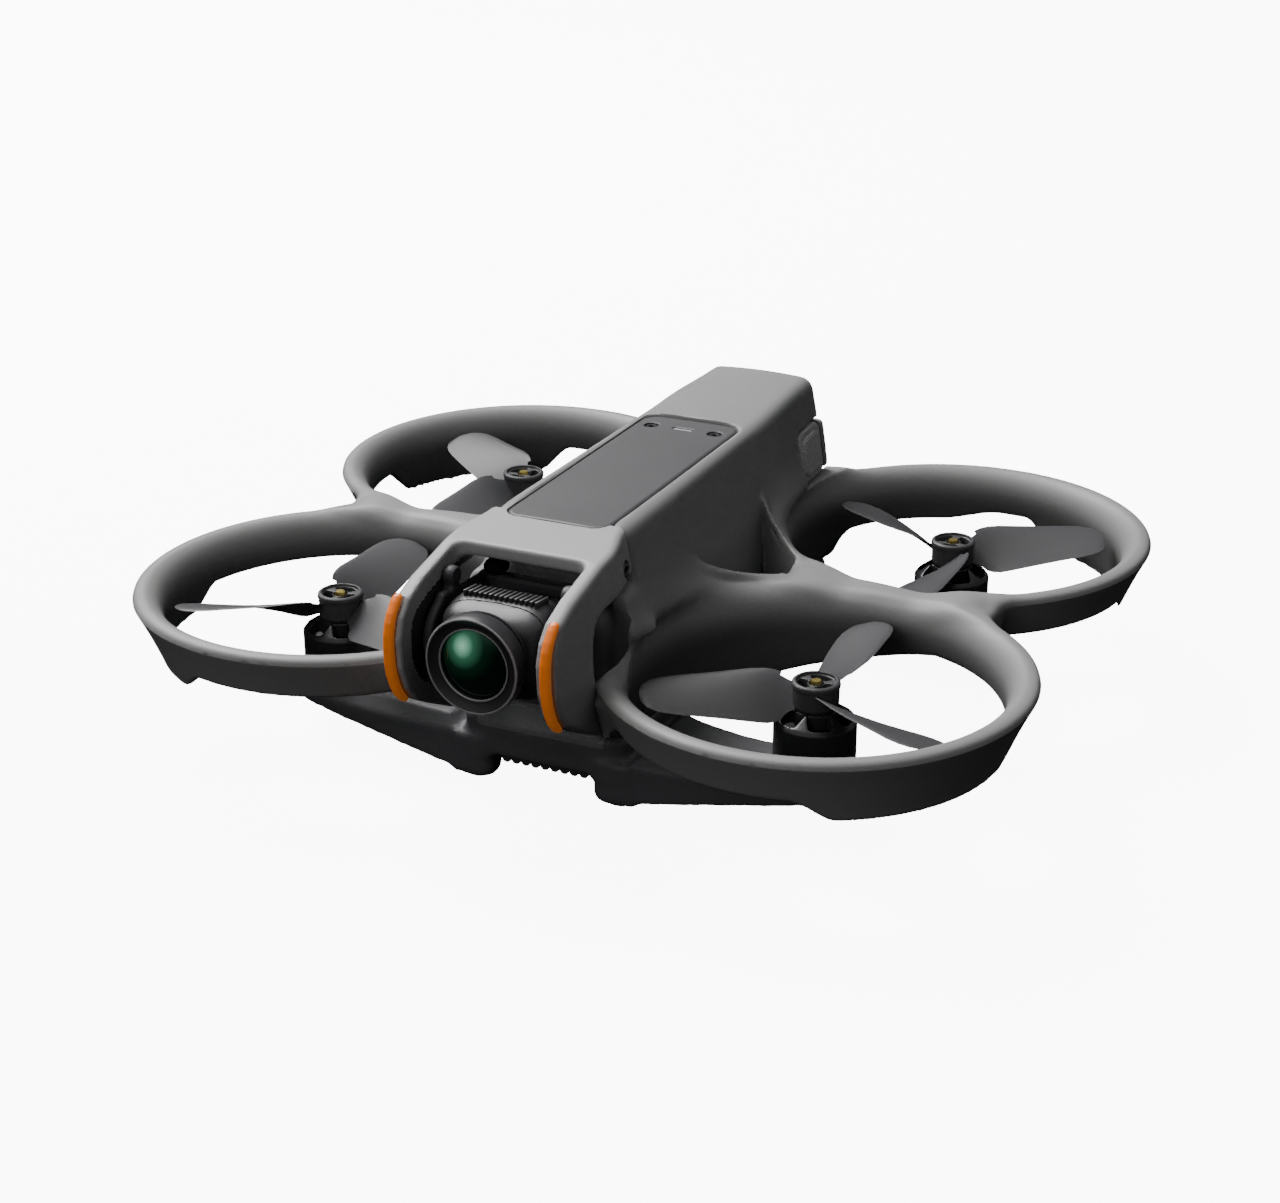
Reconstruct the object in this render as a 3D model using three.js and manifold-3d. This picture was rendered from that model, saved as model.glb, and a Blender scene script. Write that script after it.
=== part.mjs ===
// Ducted FPV racing drone. Millimetres, +Z up, nose towards -Y.
// Origin: the centre of the footprint, on the surface that the feet stand on.
import * as THREE from 'three';
import { mergeVertices } from 'three/addons/utils/BufferGeometryUtils.js';
import Module from 'manifold-3d';

const manifoldLibrary = await Module();
manifoldLibrary.setup();

// ---------------------------------------------------------------- driving dimensions
const SPAN_X = 212;               // over the propeller guards, side to side
const SPAN_Y = 185;               // nose to tail
const HEIGHT = 64;                // feet to the crown of the hull
const GAP = 0.3;                  // clearance between touching pieces

const RING_OUTER = 47.08;         // propeller guard, outer edge
const RING_INNER = 39.5;          // bore of the guard
const RING_TOP = 37.2;
const RING_EDGE_Z = 34.9;          // height of the guard's outer edge
const RING_BOTTOM = 25.5;
const RING_SEGMENTS = 36;
const ROTOR_X = SPAN_X / 2 - RING_OUTER;
const ROTOR_Y = SPAN_Y / 2 - RING_OUTER;

const HULL_FRONT = -49.3;
const HULL_REAR = 66;
const HULL_BOTTOM = 16.7;
const HULL_WIDENING = 0.13;       // how much wider the hull is at its front than at its rear
const WEB_INNER_X = 33.5;         // the web that joins a front guard to a rear guard
const WEB_OUTER_X = 84.5;
const WEB_HALF_WIDTH = 5.2;

const PANEL_HALF_WIDTH = 12.4;
const PANEL_FRONT = -51.9;
const PANEL_REAR = 22.9;
const PANEL_TOP = 62.1;
const PANEL_THICKNESS = 1.4;

const SCREW = { x: 8.2, y: 16, radius: 1.5, bottom: 60.9, top: 61.8 };

const BUMPER_HALF_WIDTH = 19.9;
const BUMPER_ARM_INNER = 15.6;
const WINDOW_REAR = -66;          // rear edge of the camera window in the bumper

const FRAME_HALF_WIDTH = 20.5;    // tray of the lower frame
const FRAME_FRONT = -60;
const FRAME_REAR = 64;
const FRAME_BOTTOM = 7.2;
const FRAME_TOP = 16.4;
const ARM_TOP = 14;               // motor arms
const FOOT = { x: 17.7, frontY: -56.6, rearY: 54.4, halfWidth: 4.6, halfLength: 3.2 };
const MOTOR_SEAT_RADIUS = 11;

const BELL_RADIUS = 9;
const BELL_TOP = 27;
const HUB_RADIUS = 5.3;
const HUB_BOTTOM = 27.5;
const HUB_TOP = 33.2;
const SHAFT_TOP = 33.9;
const PROPELLER_RADIUS = 38;
const BLADE_THICKNESS = 1.2;
const BLADE_PITCH = 20;           // degrees

const PIVOT_Y = -75;              // tilt axis of the camera
const PIVOT_Z = 42.9;
const HOUSING_HALF_WIDTH = 12.3;
const HOUSING_FRONT = -77.2;
const HOUSING_REAR = -63;
const HOUSING_HALF_HEIGHT = 10.4;
const BEZEL_RADIUS = 10.8;
const LENS_FRONT = -89.5;

const BATTERY_HALF_WIDTH = 12;
const BATTERY_FRONT = -6;
const BATTERY_BOTTOM = 29.5;
const BATTERY_TOP = 57.6;
const CAP_FRONT = 57.8;
const CAP_REAR = 66.5;
const BUTTON = { radius: 3.2, z: 47, front: 65.4, rear: 67.2, wellFloor: 64.4 };
const BUCKLE = { front: 46.8, rear: 65.2, bottom: 38.8, top: 54.8, inner: 14.4, outer: 17.2 };

// ---------------------------------------------------------------- finishes
const FINISHES = {
  hull: { color: 0x8b8b8b, roughness: 0.55, metalness: 0 },
  bumper: { color: 0xa3a3a3, roughness: 0.5, metalness: 0 },
  panel: { color: 0x4a4a4b, roughness: 0.45, metalness: 0 },
  black: { color: 0x232325, roughness: 0.5, metalness: 0 },
  orange: { color: 0xd9711c, roughness: 0.4, metalness: 0 },
  propeller: { color: 0x55565a, roughness: 0.4, metalness: 0 },
  rubber: { color: 0x18181a, roughness: 0.9, metalness: 0 },
  motor: { color: 0x2a2a2d, roughness: 0.35, metalness: 0.9 },
  steel: { color: 0x9a9a9c, roughness: 0.3, metalness: 1 },
  glass: { color: 0x0d2018, roughness: 0.05, metalness: 0 },
  board: { color: 0x14301f, roughness: 0.6, metalness: 0 },
  cells: { color: 0x3c4450, roughness: 0.6, metalness: 0 },
};

const drone = new THREE.Group();

// ---------------------------------------------------------------- helpers
function addPiece(name, geometry, finish) {
  const bare = geometry.index ? geometry.toNonIndexed() : geometry;
  bare.deleteAttribute('uv');
  bare.computeVertexNormals();
  const mesh = new THREE.Mesh(bare, new THREE.MeshStandardMaterial(FINISHES[finish]));
  mesh.name = name;
  drone.add(mesh);
  return mesh;
}

function toSolid(geometry) {
  const bare = geometry.clone();
  bare.deleteAttribute('normal');
  bare.deleteAttribute('uv');
  const merged = mergeVertices(bare, 1e-4);
  const mesh = new manifoldLibrary.Mesh({
    numProp: 3,
    vertProperties: new Float32Array(merged.attributes.position.array),
    triVerts: new Uint32Array(merged.index.array),
  });
  return new manifoldLibrary.Manifold(mesh);
}

function toGeometry(solid) {
  const { vertProperties, triVerts } = solid.getMesh();
  const geometry = new THREE.BufferGeometry();
  geometry.setAttribute('position', new THREE.BufferAttribute(vertProperties, 3));
  geometry.setIndex(new THREE.BufferAttribute(triVerts, 1));
  return geometry;
}

function join(geometries) {
  return geometries.map(toSolid).reduce((whole, next) => whole.add(next));
}

function cut(solid, geometries) {
  return geometries.map(toSolid).reduce((rest, next) => rest.subtract(next), solid);
}

function block(x, y, z) {
  const geometry = new THREE.BoxGeometry(x[1] - x[0], y[1] - y[0], z[1] - z[0]);
  return geometry.translate((x[0] + x[1]) / 2, (y[0] + y[1]) / 2, (z[0] + z[1]) / 2);
}

function outline(points) {
  return new THREE.Shape(points.map(([a, b]) => new THREE.Vector2(a, b)));
}

// A plan outline (x, y) raised from z0 to z1.
function raise(shape, z0, z1, curveSegments = 6) {
  const options = { depth: z1 - z0, bevelEnabled: false, curveSegments };
  return new THREE.ExtrudeGeometry(shape, options).translate(0, 0, z0);
}

// A side outline (y, z) carried across from x0 to x1.
function carryAcross(shape, x0, x1, curveSegments = 6) {
  const geometry = raise(shape, x0, x1, curveSegments);
  const turn = new THREE.Matrix4().makeBasis(
    new THREE.Vector3(0, 1, 0), new THREE.Vector3(0, 0, 1), new THREE.Vector3(1, 0, 0));
  return geometry.applyMatrix4(turn);
}

// A front outline (x, z) carried back from y0 to y1.
function carryBack(shape, y0, y1, curveSegments = 6) {
  const geometry = raise(shape, -y1, -y0, curveSegments);
  return geometry.rotateX(Math.PI / 2);
}

function mirroredOutline(half) {
  const left = half.slice().reverse().map(([x, z]) => [-x, z]);
  return outline([...left, ...half]);
}

function roundedRectangle(halfWidth, y0, y1, radius) {
  const shape = new THREE.Shape();
  shape.moveTo(halfWidth, y0 + radius);
  shape.lineTo(halfWidth, y1 - radius);
  shape.absarc(halfWidth - radius, y1 - radius, radius, 0, Math.PI / 2);
  shape.absarc(-halfWidth + radius, y1 - radius, radius, Math.PI / 2, Math.PI);
  shape.absarc(-halfWidth + radius, y0 + radius, radius, Math.PI, Math.PI * 1.5);
  shape.absarc(halfWidth - radius, y0 + radius, radius, Math.PI * 1.5, Math.PI * 2);
  return shape;
}

// A turned piece about the vertical. The profile (radius, z) runs anticlockwise.
function turned(profile, segments = 18) {
  const points = profile.map(([radius, z]) => new THREE.Vector2(radius, z));
  return new THREE.LatheGeometry(points, segments).rotateX(Math.PI / 2);
}

function turnedRing(profile, segments) {
  return turned([...profile, profile[0]], segments);
}

function upright(radius, z0, z1, segments = 16) {
  return turned([[0, z0], [radius, z0], [radius, z1], [0, z1]], segments);
}

// Turns a piece made about the vertical so that its top faces the nose.
function faceNose(geometry) {
  return geometry.rotateX(Math.PI / 2);
}

function across(radius, x0, x1, y, z, segments = 20) {
  return upright(radius, x0, x1, segments).rotateY(Math.PI / 2).translate(0, y, z);
}

function sector(innerRadius, outerRadius, start, end) {
  const shape = new THREE.Shape();
  shape.absarc(0, 0, outerRadius, start, end, false);
  shape.absarc(0, 0, innerRadius, end, start, true);
  return shape;
}

// Widens a piece towards the nose, as the hull widens.
function widen(geometry) {
  const position = geometry.attributes.position;
  for (let i = 0; i < position.count; i += 1) {
    const fromRear = (HULL_REAR - position.getY(i)) / (HULL_REAR - HULL_FRONT);
    position.setX(i, position.getX(i) * (1 + HULL_WIDENING * fromRear));
  }
  return geometry;
}

// Mirrors a piece made for the right front quarter's opposite side or end.
function reflect(geometry, side, end = 1) {
  const bare = geometry.index ? geometry.toNonIndexed() : geometry;
  bare.scale(side, end, 1);
  const position = bare.attributes.position;
  for (let i = 0; side * end < 0 && i < position.count; i += 3) {
    const second = new THREE.Vector3().fromBufferAttribute(position, i + 1);
    const third = new THREE.Vector3().fromBufferAttribute(position, i + 2);
    position.setXYZ(i + 1, third.x, third.y, third.z);
    position.setXYZ(i + 2, second.x, second.y, second.z);
  }
  return bare;
}

const SIDES = [{ tag: 'left', side: -1 }, { tag: 'right', side: 1 }];
const ENDS = [{ tag: 'front', end: -1 }, { tag: 'rear', end: 1 }];
const CORNERS = ENDS.flatMap((e) => SIDES.map((s) => ({
  tag: `${e.tag}_${s.tag}`,
  side: s.side,
  end: e.end,
  x: s.side * ROTOR_X,
  y: e.end * ROTOR_Y,
})));
// Heading of each propeller's first blade at rest, in degrees from +X.
const BLADE_HEADING = { front_left: 94, front_right: 89, rear_left: 29, rear_right: 35 };

// ---------------------------------------------------------------- upper shell
const HULL_HALF = [
  [20.2, HULL_BOTTOM], [19.6, 30], [18.8, 36], [17.8, 41], [16.6, 49.5],
  [15.1, 57.5], [14.4, 60.6], [12.4, 62.9], [4, HEIGHT],
];
const CAVITY_HALF = [
  [15.6, HULL_BOTTOM - 2], [15.4, 36], [15, 41], [14.2, 49.5], [13, 56.6], [11.8, 58.4],
];

function guard() {
  const wall = [
    [RING_INNER, RING_BOTTOM], [41.2, RING_BOTTOM], [RING_OUTER, RING_EDGE_Z], [46.7, 36.4],
    [44.5, RING_TOP], [42.4, 36.5], [40.4, 34.5], [RING_INNER, 31],
  ];
  return turnedRing(wall, RING_SEGMENTS);
}

function skirt(corner) {
  const front = corner.end < 0;
  const degrees = front ? [-68, 2] : [10, 73];
  const headings = degrees.map((d) => (corner.side > 0 ? d : 180 - d) * Math.PI / 180);
  const start = Math.min(...headings);
  const end = Math.max(...headings);
  return raise(sector(RING_INNER, 41, start, end), front ? 20.4 : 17.6, RING_BOTTOM + 1, 10);
}

function rib(side, end) {
  const root = [18, end < 0 ? -20.5 : 21.5];
  const tip = [35, end < 0 ? -3.5 : 6];
  const along = new THREE.Vector2(tip[0] - root[0], tip[1] - root[1]).normalize();
  const half = [-along.y * 1.4, along.x * 1.4];
  const corners = [
    [root[0] + half[0], root[1] + half[1]], [root[0] - half[0], root[1] - half[1]],
    [tip[0] - half[0], tip[1] - half[1]], [tip[0] + half[0], tip[1] + half[1]],
  ];
  const ordered = side > 0 ? corners : corners.map(([x, y]) => [-x, y]).reverse();
  return raise(outline(ordered), 29, 37.4);
}

function upperShell() {
  const hull = widen(carryBack(mirroredOutline(HULL_HALF), HULL_FRONT, HULL_REAR));
  const cavity = widen(carryBack(mirroredOutline(CAVITY_HALF), HULL_FRONT - 9, HULL_REAR + 9));
  const bores = CORNERS.map((c) => upright(RING_INNER, 0, 35, RING_SEGMENTS).translate(c.x, c.y, 0));
  const body = cut(toSolid(hull), bores);
  const guards = CORNERS.flatMap((c) => [guard(), skirt(c)].map((g) => g.translate(c.x, c.y, 0)));
  const webs = SIDES.map(({ side }) => block(
    [Math.min(side * WEB_INNER_X, side * WEB_OUTER_X), Math.max(side * WEB_INNER_X, side * WEB_OUTER_X)],
    [-WEB_HALF_WIDTH, WEB_HALF_WIDTH], [28, 36.6]));
  const ribs = SIDES.flatMap(({ side }) => ENDS.map(({ end }) => rib(side, end)));
  const whole = body.add(join([...guards, ...webs, ...ribs]));
  const recess = raise(
    roundedRectangle(PANEL_HALF_WIDTH + GAP, PANEL_FRONT - GAP, PANEL_REAR + GAP, 3),
    PANEL_TOP - PANEL_THICKNESS - GAP, HEIGHT + 1);
  const buckleSlots = SIDES.map(({ side }) => block(
    [Math.min(side * 10, side * 22), Math.max(side * 10, side * 22)],
    [BUCKLE.front - 0.5, HULL_REAR + 2], [BUCKLE.bottom - 0.5, BUCKLE.top + 0.5]));
  const cameraBay = block([-BUMPER_ARM_INNER, BUMPER_ARM_INNER], [-SPAN_Y / 2, HULL_FRONT - 4], [0, HEIGHT]);
  return cut(whole, [cavity, cameraBay, recess, ...buckleSlots]);
}

// ---------------------------------------------------------------- lower frame
function motorArm(corner) {
  const reach = ROTOR_X;
  const plan = new THREE.Shape();
  plan.moveTo(14, 30);
  plan.lineTo(30, 36);
  plan.absarc(reach, ROTOR_Y, MOTOR_SEAT_RADIUS, -Math.PI * 0.62, Math.PI * 0.5);
  plan.lineTo(25, 59);
  plan.lineTo(14, 59);
  const arm = toSolid(raise(plan, 0, ARM_TOP, 10));
  const underside = outline([[10, 2], [24, 2], [reach, 7.8], [76, 8.4], [76, ARM_TOP], [10, ARM_TOP]]);
  const shaped = toGeometry(arm.intersect(toSolid(carryBack(underside, 20, 70))));
  return reflect(shaped, corner.side, corner.end);
}

// A rubber foot, or with a margin the pocket that it sits in.
function footOutline(margin, z0, z1, side, end) {
  const length = FOOT.halfLength + margin;
  const shape = roundedRectangle(FOOT.halfWidth + margin, -length, length, 2);
  return raise(shape, z0, z1, 4).translate(side * FOOT.x, end < 0 ? FOOT.frontY : FOOT.rearY, 0);
}

function lowerFrame() {
  const side = outline([
    [FRAME_FRONT, FRAME_BOTTOM], [FRAME_REAR - 6, FRAME_BOTTOM], [FRAME_REAR, 11],
    [FRAME_REAR, FRAME_TOP], [FRAME_FRONT, FRAME_TOP],
  ]);
  const tray = carryAcross(side, -FRAME_HALF_WIDTH, FRAME_HALF_WIDTH);
  const chin = outline([
    [FRAME_FRONT, 14], [FRAME_FRONT + 2.5, 19.8], [-53, 19.8], [-53, 14],
  ]);
  const whole = join([tray, carryAcross(chin, -14, 14), ...CORNERS.map(motorArm)]);
  const inside = block([-18.4, 18.4], [FRAME_FRONT + 7.5, FRAME_REAR - 3], [9, 30]);
  const bellyCut = block([-15.2, 15.2], [FRAME_FRONT + 7.4, FRAME_REAR + 3], [0, FRAME_BOTTOM]);
  const visionBores = SIDES.map(({ side: s }) => (
    upright(3.9, -9, 9, 16).rotateX(-Math.PI / 4).translate(s * 11, 61, 9.6)));
  const rangerBore = block([-4.6, 4.6], [35.4, 42.6], [0, 10]);
  const footPockets = CORNERS.map(({ side: s, end }) => footOutline(GAP, 0, FRAME_BOTTOM, s, end));
  return cut(whole, [inside, bellyCut, ...visionBores, rangerBore, ...footPockets]);
}

// ---------------------------------------------------------------- front bumper
// Side outline of a bumper arm: over the camera, down its front and back under the guard.
const BUMPER_SIDE = [
  [HULL_FRONT - GAP, 62.3], [WINDOW_REAR, 60.2], [-80, 57], [-86.4, 54.6], [-89.4, 51], [-90.6, 46.5],
  [-90.2, 40], [-88, 34.5], [-85.4, 31.4], [-80, 28], [-70, 22.6], [-63, 20.4], [-62.2, 24.8],
  [-72.9, 25.1], [-72.8, 44.4], [-69.9, 50], [-60.3, 50.8], [-54.5, 42], [HULL_FRONT - GAP, 42],
];

function frontBumper() {
  const arm = carryAcross(outline(BUMPER_SIDE), BUMPER_ARM_INNER, BUMPER_HALF_WIDTH);
  const plate = carryAcross(outline([
    [HULL_FRONT - GAP, 62.3], [WINDOW_REAR, 60.2], [WINDOW_REAR, 56.8], [HULL_FRONT - GAP, 57.2],
  ]), -BUMPER_HALF_WIDTH, BUMPER_HALF_WIDTH);
  const shoulder = mirroredOutline([[20, 10], [19.9, 40], [18.6, 56.5], [16.6, 60.6], [14.2, 63]]);
  const frame = join([arm.clone(), reflect(arm, -1), plate]);
  const rounded = frame.intersect(toSolid(carryBack(shoulder, -93, -40)));
  const recess = raise(
    roundedRectangle(PANEL_HALF_WIDTH + GAP, PANEL_FRONT - GAP, PANEL_REAR + GAP, 3),
    PANEL_TOP - PANEL_THICKNESS - GAP, HEIGHT + 1);
  const screwPit = across(1.9, 16.8, 22, -53.5, 54.5, 12);
  return cut(rounded, [recess, screwPit.clone(), reflect(screwPit, -1)]);
}

// The coloured strip follows the front edge of a bumper arm, from its top to its foot.
function bumperStrip() {
  return outline([
    [-86.4, 55.2], [-87.6, 55], [-91.2, 51.4], [-SPAN_Y / 2, 46.6], [-92.2, 39.6], [-89.8, 33.6],
    [-86.6, 30.3], [-85.5, 30.7], [-88.4, 34.3], [-90.5, 39.9], [-90.9, 46.6], [-89.8, 51.2],
  ]);
}

// ---------------------------------------------------------------- top panel
function topPanel() {
  const plate = raise(
    roundedRectangle(PANEL_HALF_WIDTH, PANEL_FRONT, PANEL_REAR, 2.7),
    PANEL_TOP - PANEL_THICKNESS, PANEL_TOP);
  const screwHoles = SIDES.map(({ side }) => (
    upright(SCREW.radius + GAP, 60, 63, 12).translate(side * SCREW.x, SCREW.y, 0)));
  const lightSlot = block([-2.7, 2.7], [SCREW.y - 0.8, SCREW.y + 0.8], [60, 63]);
  return cut(toSolid(plate), [...screwHoles, lightSlot]);
}

// ---------------------------------------------------------------- belly and boards
function bellyCover() {
  const cover = block([-11.8, 11.8], [FRAME_FRONT + 2, 30], [6, FRAME_BOTTOM - GAP]);
  const ribCount = 9;
  const ribPitch = 2.6;
  const ribs = Array.from({ length: ribCount }, (_, i) => {
    const x = (i - (ribCount - 1) / 2) * ribPitch;
    return block([x - 0.7, x + 0.7], [FRAME_FRONT + 2, 28], [5, 6.2]);
  });
  return toGeometry(join([cover, ...ribs]));
}

function heatSink() {
  const base = block([-11, 11], [-42, -16], [25.7, 27]);
  const fins = Array.from({ length: 6 }, (_, i) => {
    const x = -10 + i * 4;
    return block([x - 0.6, x + 0.6], [-42, -16], [26.8, 31]);
  });
  return toGeometry(join([base, ...fins]));
}

// ---------------------------------------------------------------- camera bracket
const CHEEK = { inner: 12.9, outer: 15.2, ringRadius: 8.4 };
const BEAM = { front: -58, rear: -54.3, bottom: 37, top: 50 };
const TILT_MOTOR_RADIUS = 6.4;
const TILT_SHAFT_RADIUS = 1.5;

function cameraBracket() {
  const cheek = new THREE.Shape();
  cheek.moveTo(BEAM.rear, BEAM.bottom);
  cheek.lineTo(BEAM.rear, BEAM.top);
  cheek.absarc(PIVOT_Y, PIVOT_Z, CHEEK.ringRadius, Math.PI / 3, Math.PI * 5 / 3, false);
  const cheeks = [
    carryAcross(cheek, CHEEK.inner, CHEEK.outer, 10),
    carryAcross(cheek, -CHEEK.outer, -CHEEK.inner, 10),
  ];
  const beam = block([-CHEEK.outer, CHEEK.outer], [BEAM.front, BEAM.rear], [BEAM.bottom, BEAM.top]);
  const bores = [
    across(TILT_MOTOR_RADIUS + GAP, CHEEK.inner - 1, CHEEK.outer + 1, PIVOT_Y, PIVOT_Z, 24),
    across(TILT_SHAFT_RADIUS + GAP, -CHEEK.outer - 1, -CHEEK.inner + 1, PIVOT_Y, PIVOT_Z, 16),
  ];
  return cut(join([...cheeks, beam]), bores);
}

const DAMPER_PROFILE = [
  [0, BEAM.top + GAP], [2.2, BEAM.top + GAP], [2.9, BEAM.top + 1.8], [1.7, BEAM.top + 3.2],
  [2.9, BEAM.top + 4.6], [2.2, 56.4], [0, 56.4],
];

// ---------------------------------------------------------------- camera
function cameraHousing() {
  const shape = new THREE.Shape();
  const rounding = 2.6;
  const half = HOUSING_HALF_WIDTH;
  const low = PIVOT_Z - HOUSING_HALF_HEIGHT;
  const high = PIVOT_Z + HOUSING_HALF_HEIGHT;
  shape.moveTo(half, low + rounding);
  shape.absarc(half - rounding, high - rounding, rounding, 0, Math.PI / 2);
  shape.absarc(-half + rounding, high - rounding, rounding, Math.PI / 2, Math.PI);
  shape.absarc(-half + rounding, low + rounding, rounding, Math.PI, Math.PI * 1.5);
  shape.absarc(half - rounding, low + rounding, rounding, Math.PI * 1.5, Math.PI * 2);
  const outer = toSolid(carryBack(shape, HOUSING_FRONT, HOUSING_REAR, 5));
  const wall = 1.6;
  const cavity = block(
    [-half + wall, half - wall], [HOUSING_FRONT + wall, HOUSING_REAR + 1], [low + wall, high - wall]);
  const lensBore = faceNose(upright(7, 60, 80, 20)).translate(0, 0, PIVOT_Z);
  return cut(outer, [cavity, lensBore]);
}

function finCover() {
  const bottom = PIVOT_Z + HOUSING_HALF_HEIGHT + GAP;
  const plate = block([-9.6, 9.6], [-75.5, -65.2], [bottom, bottom + 0.6]);
  const finCount = 9;
  const pitch = 2.1;
  const fins = Array.from({ length: finCount }, (_, i) => {
    const x = (i - (finCount - 1) / 2) * pitch;
    return block([x - 0.55, x + 0.55], [-75.2, -65.5], [bottom + 0.4, bottom + 1.6]);
  });
  return join([plate, ...fins]);
}

const BARREL_PROFILE = [
  [6.6, -HOUSING_FRONT + GAP], [9.4, -HOUSING_FRONT + GAP], [9.4, 84], [6.6, 84],
];
const BEZEL_PROFILE = [
  [7.2, 84 + GAP], [9.8, 84 + GAP], [BEZEL_RADIUS, 85.4], [BEZEL_RADIUS, -LENS_FRONT],
  [9.9, -LENS_FRONT], [8, 88], [7.2, 88],
];
const LENS_PROFILE = [
  [0, 84.6], [6.9, 84.6], [6.9, 87], [6, 88.1], [4.2, 89], [2.2, 89.6], [0, 89.8],
];

// ---------------------------------------------------------------- rotors
function bell() {
  return turned([
    [0, 15.2], [1.3, 15.2], [1.3, 22.8], [7.5, 22.8], [7.5, 16.2], [BELL_RADIUS, 16.2],
    [BELL_RADIUS, 24], [5.2, BELL_TOP], [1.4, BELL_TOP], [1.4, SHAFT_TOP], [0, SHAFT_TOP],
  ]);
}

const MOTOR_BASE_PROFILE = [
  [1.8, ARM_TOP + GAP], [8.8, ARM_TOP + GAP], [8.8, 15.6], [6.6, 15.6], [6.6, 21.8], [1.8, 21.8],
];

function bladeOutline() {
  const shape = new THREE.Shape();
  shape.moveTo(3.6, -2.8);
  shape.quadraticCurveTo(14, -8.5, 26, -8);
  shape.bezierCurveTo(33, -7.6, PROPELLER_RADIUS, -5, PROPELLER_RADIUS, 0.5);
  shape.bezierCurveTo(PROPELLER_RADIUS, 5, 30, 6.6, 22, 5.8);
  shape.quadraticCurveTo(10, 4.6, 3.6, 2.8);
  return shape;
}

function propeller(corner) {
  const spin = corner.side * corner.end;
  const middle = (HUB_BOTTOM + HUB_TOP) / 2;
  const blades = [0, 1, 2].map((i) => {
    const blade = raise(bladeOutline(), -BLADE_THICKNESS / 2, BLADE_THICKNESS / 2, 4);
    const facing = reflect(blade, 1, spin);
    facing.rotateX(spin * THREE.MathUtils.degToRad(BLADE_PITCH));
    facing.rotateZ(THREE.MathUtils.degToRad(BLADE_HEADING[corner.tag] + i * 120));
    return facing.translate(0, 0, middle);
  });
  const hub = upright(HUB_RADIUS, HUB_BOTTOM, HUB_TOP, 16);
  return cut(join([hub, ...blades]), [upright(1.4 + GAP, 20, 40, 12)]);
}

// ---------------------------------------------------------------- battery
function batteryCase() {
  const wall = 1.2;
  const half = BATTERY_HALF_WIDTH;
  const outer = carryBack(
    mirroredOutline([
      [half - 2, BATTERY_BOTTOM], [half, BATTERY_BOTTOM + 2], [half, BATTERY_TOP - 3], [half - 3, BATTERY_TOP],
    ]), BATTERY_FRONT, CAP_FRONT - GAP);
  const inside = block(
    [-half + wall, half - wall], [BATTERY_FRONT - 1, CAP_FRONT - GAP - wall],
    [BATTERY_BOTTOM + wall, BATTERY_TOP - wall - 2]);
  return cut(toSolid(outer), [inside]);
}

function batteryCap() {
  const outer = carryBack(
    mirroredOutline([
      [10.6, BATTERY_BOTTOM], [12.6, BATTERY_BOTTOM + 2], [12.6, 52], [12.2, 56], [10.6, BATTERY_TOP],
    ]), CAP_FRONT, CAP_REAR);
  const buttonWell = upright(BUTTON.radius + 0.4, -CAP_REAR - 1, -BUTTON.wellFloor, 20);
  return cut(toSolid(outer), [faceNose(buttonWell).translate(0, 0, BUTTON.z)]);
}

function buckle() {
  const corner = 2.5;
  const shape = new THREE.Shape();
  shape.moveTo(BUCKLE.rear, BUCKLE.bottom);
  shape.lineTo(BUCKLE.rear, BUCKLE.top);
  shape.lineTo(BUCKLE.front + corner, BUCKLE.top);
  shape.lineTo(BUCKLE.front, BUCKLE.top - corner);
  shape.lineTo(BUCKLE.front, BUCKLE.bottom + corner);
  shape.lineTo(BUCKLE.front + corner, BUCKLE.bottom);
  const plate = toSolid(carryAcross(shape, BUCKLE.inner, BUCKLE.outer));
  const grooveCount = 5;
  const grooves = Array.from({ length: grooveCount }, (_, i) => {
    const y = BUCKLE.front + 4.6 + i * 3;
    return block([BUCKLE.outer - 0.4, BUCKLE.outer + 1], [y - 0.6, y + 0.6], [42, 51.6]);
  });
  return toGeometry(cut(plate, grooves));
}

// ---------------------------------------------------------------- pieces of the airframe
addPiece('upper_shell', toGeometry(upperShell()), 'hull');
addPiece('lower_frame', toGeometry(lowerFrame()), 'black');
addPiece('front_bumper', toGeometry(frontBumper()), 'bumper');
addPiece('top_panel', toGeometry(topPanel()), 'panel');
addPiece('status_light', block(
  [-2.4, 2.4], [SCREW.y - 0.5, SCREW.y + 0.5], [SCREW.bottom, PANEL_TOP - 0.1]), 'glass');
addPiece('belly_cover', bellyCover(), 'black');
addPiece('distance_sensor', block([-4.2, 4.2], [35.8, 42.2], [6, 8.6]), 'glass');
addPiece('camera_bracket', toGeometry(cameraBracket()), 'black');
addPiece('tilt_motor', across(TILT_MOTOR_RADIUS, 12.8, 15.2, PIVOT_Y, PIVOT_Z, 24), 'motor');
addPiece('power_board', block([-16.5, 16.5], [-44, 8], [10.6, 12]), 'board');
addPiece('flight_board', block([-14, 14], [-45, -12], [24, 25.4]), 'board');
addPiece('heat_sink', heatSink(), 'steel');

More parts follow.
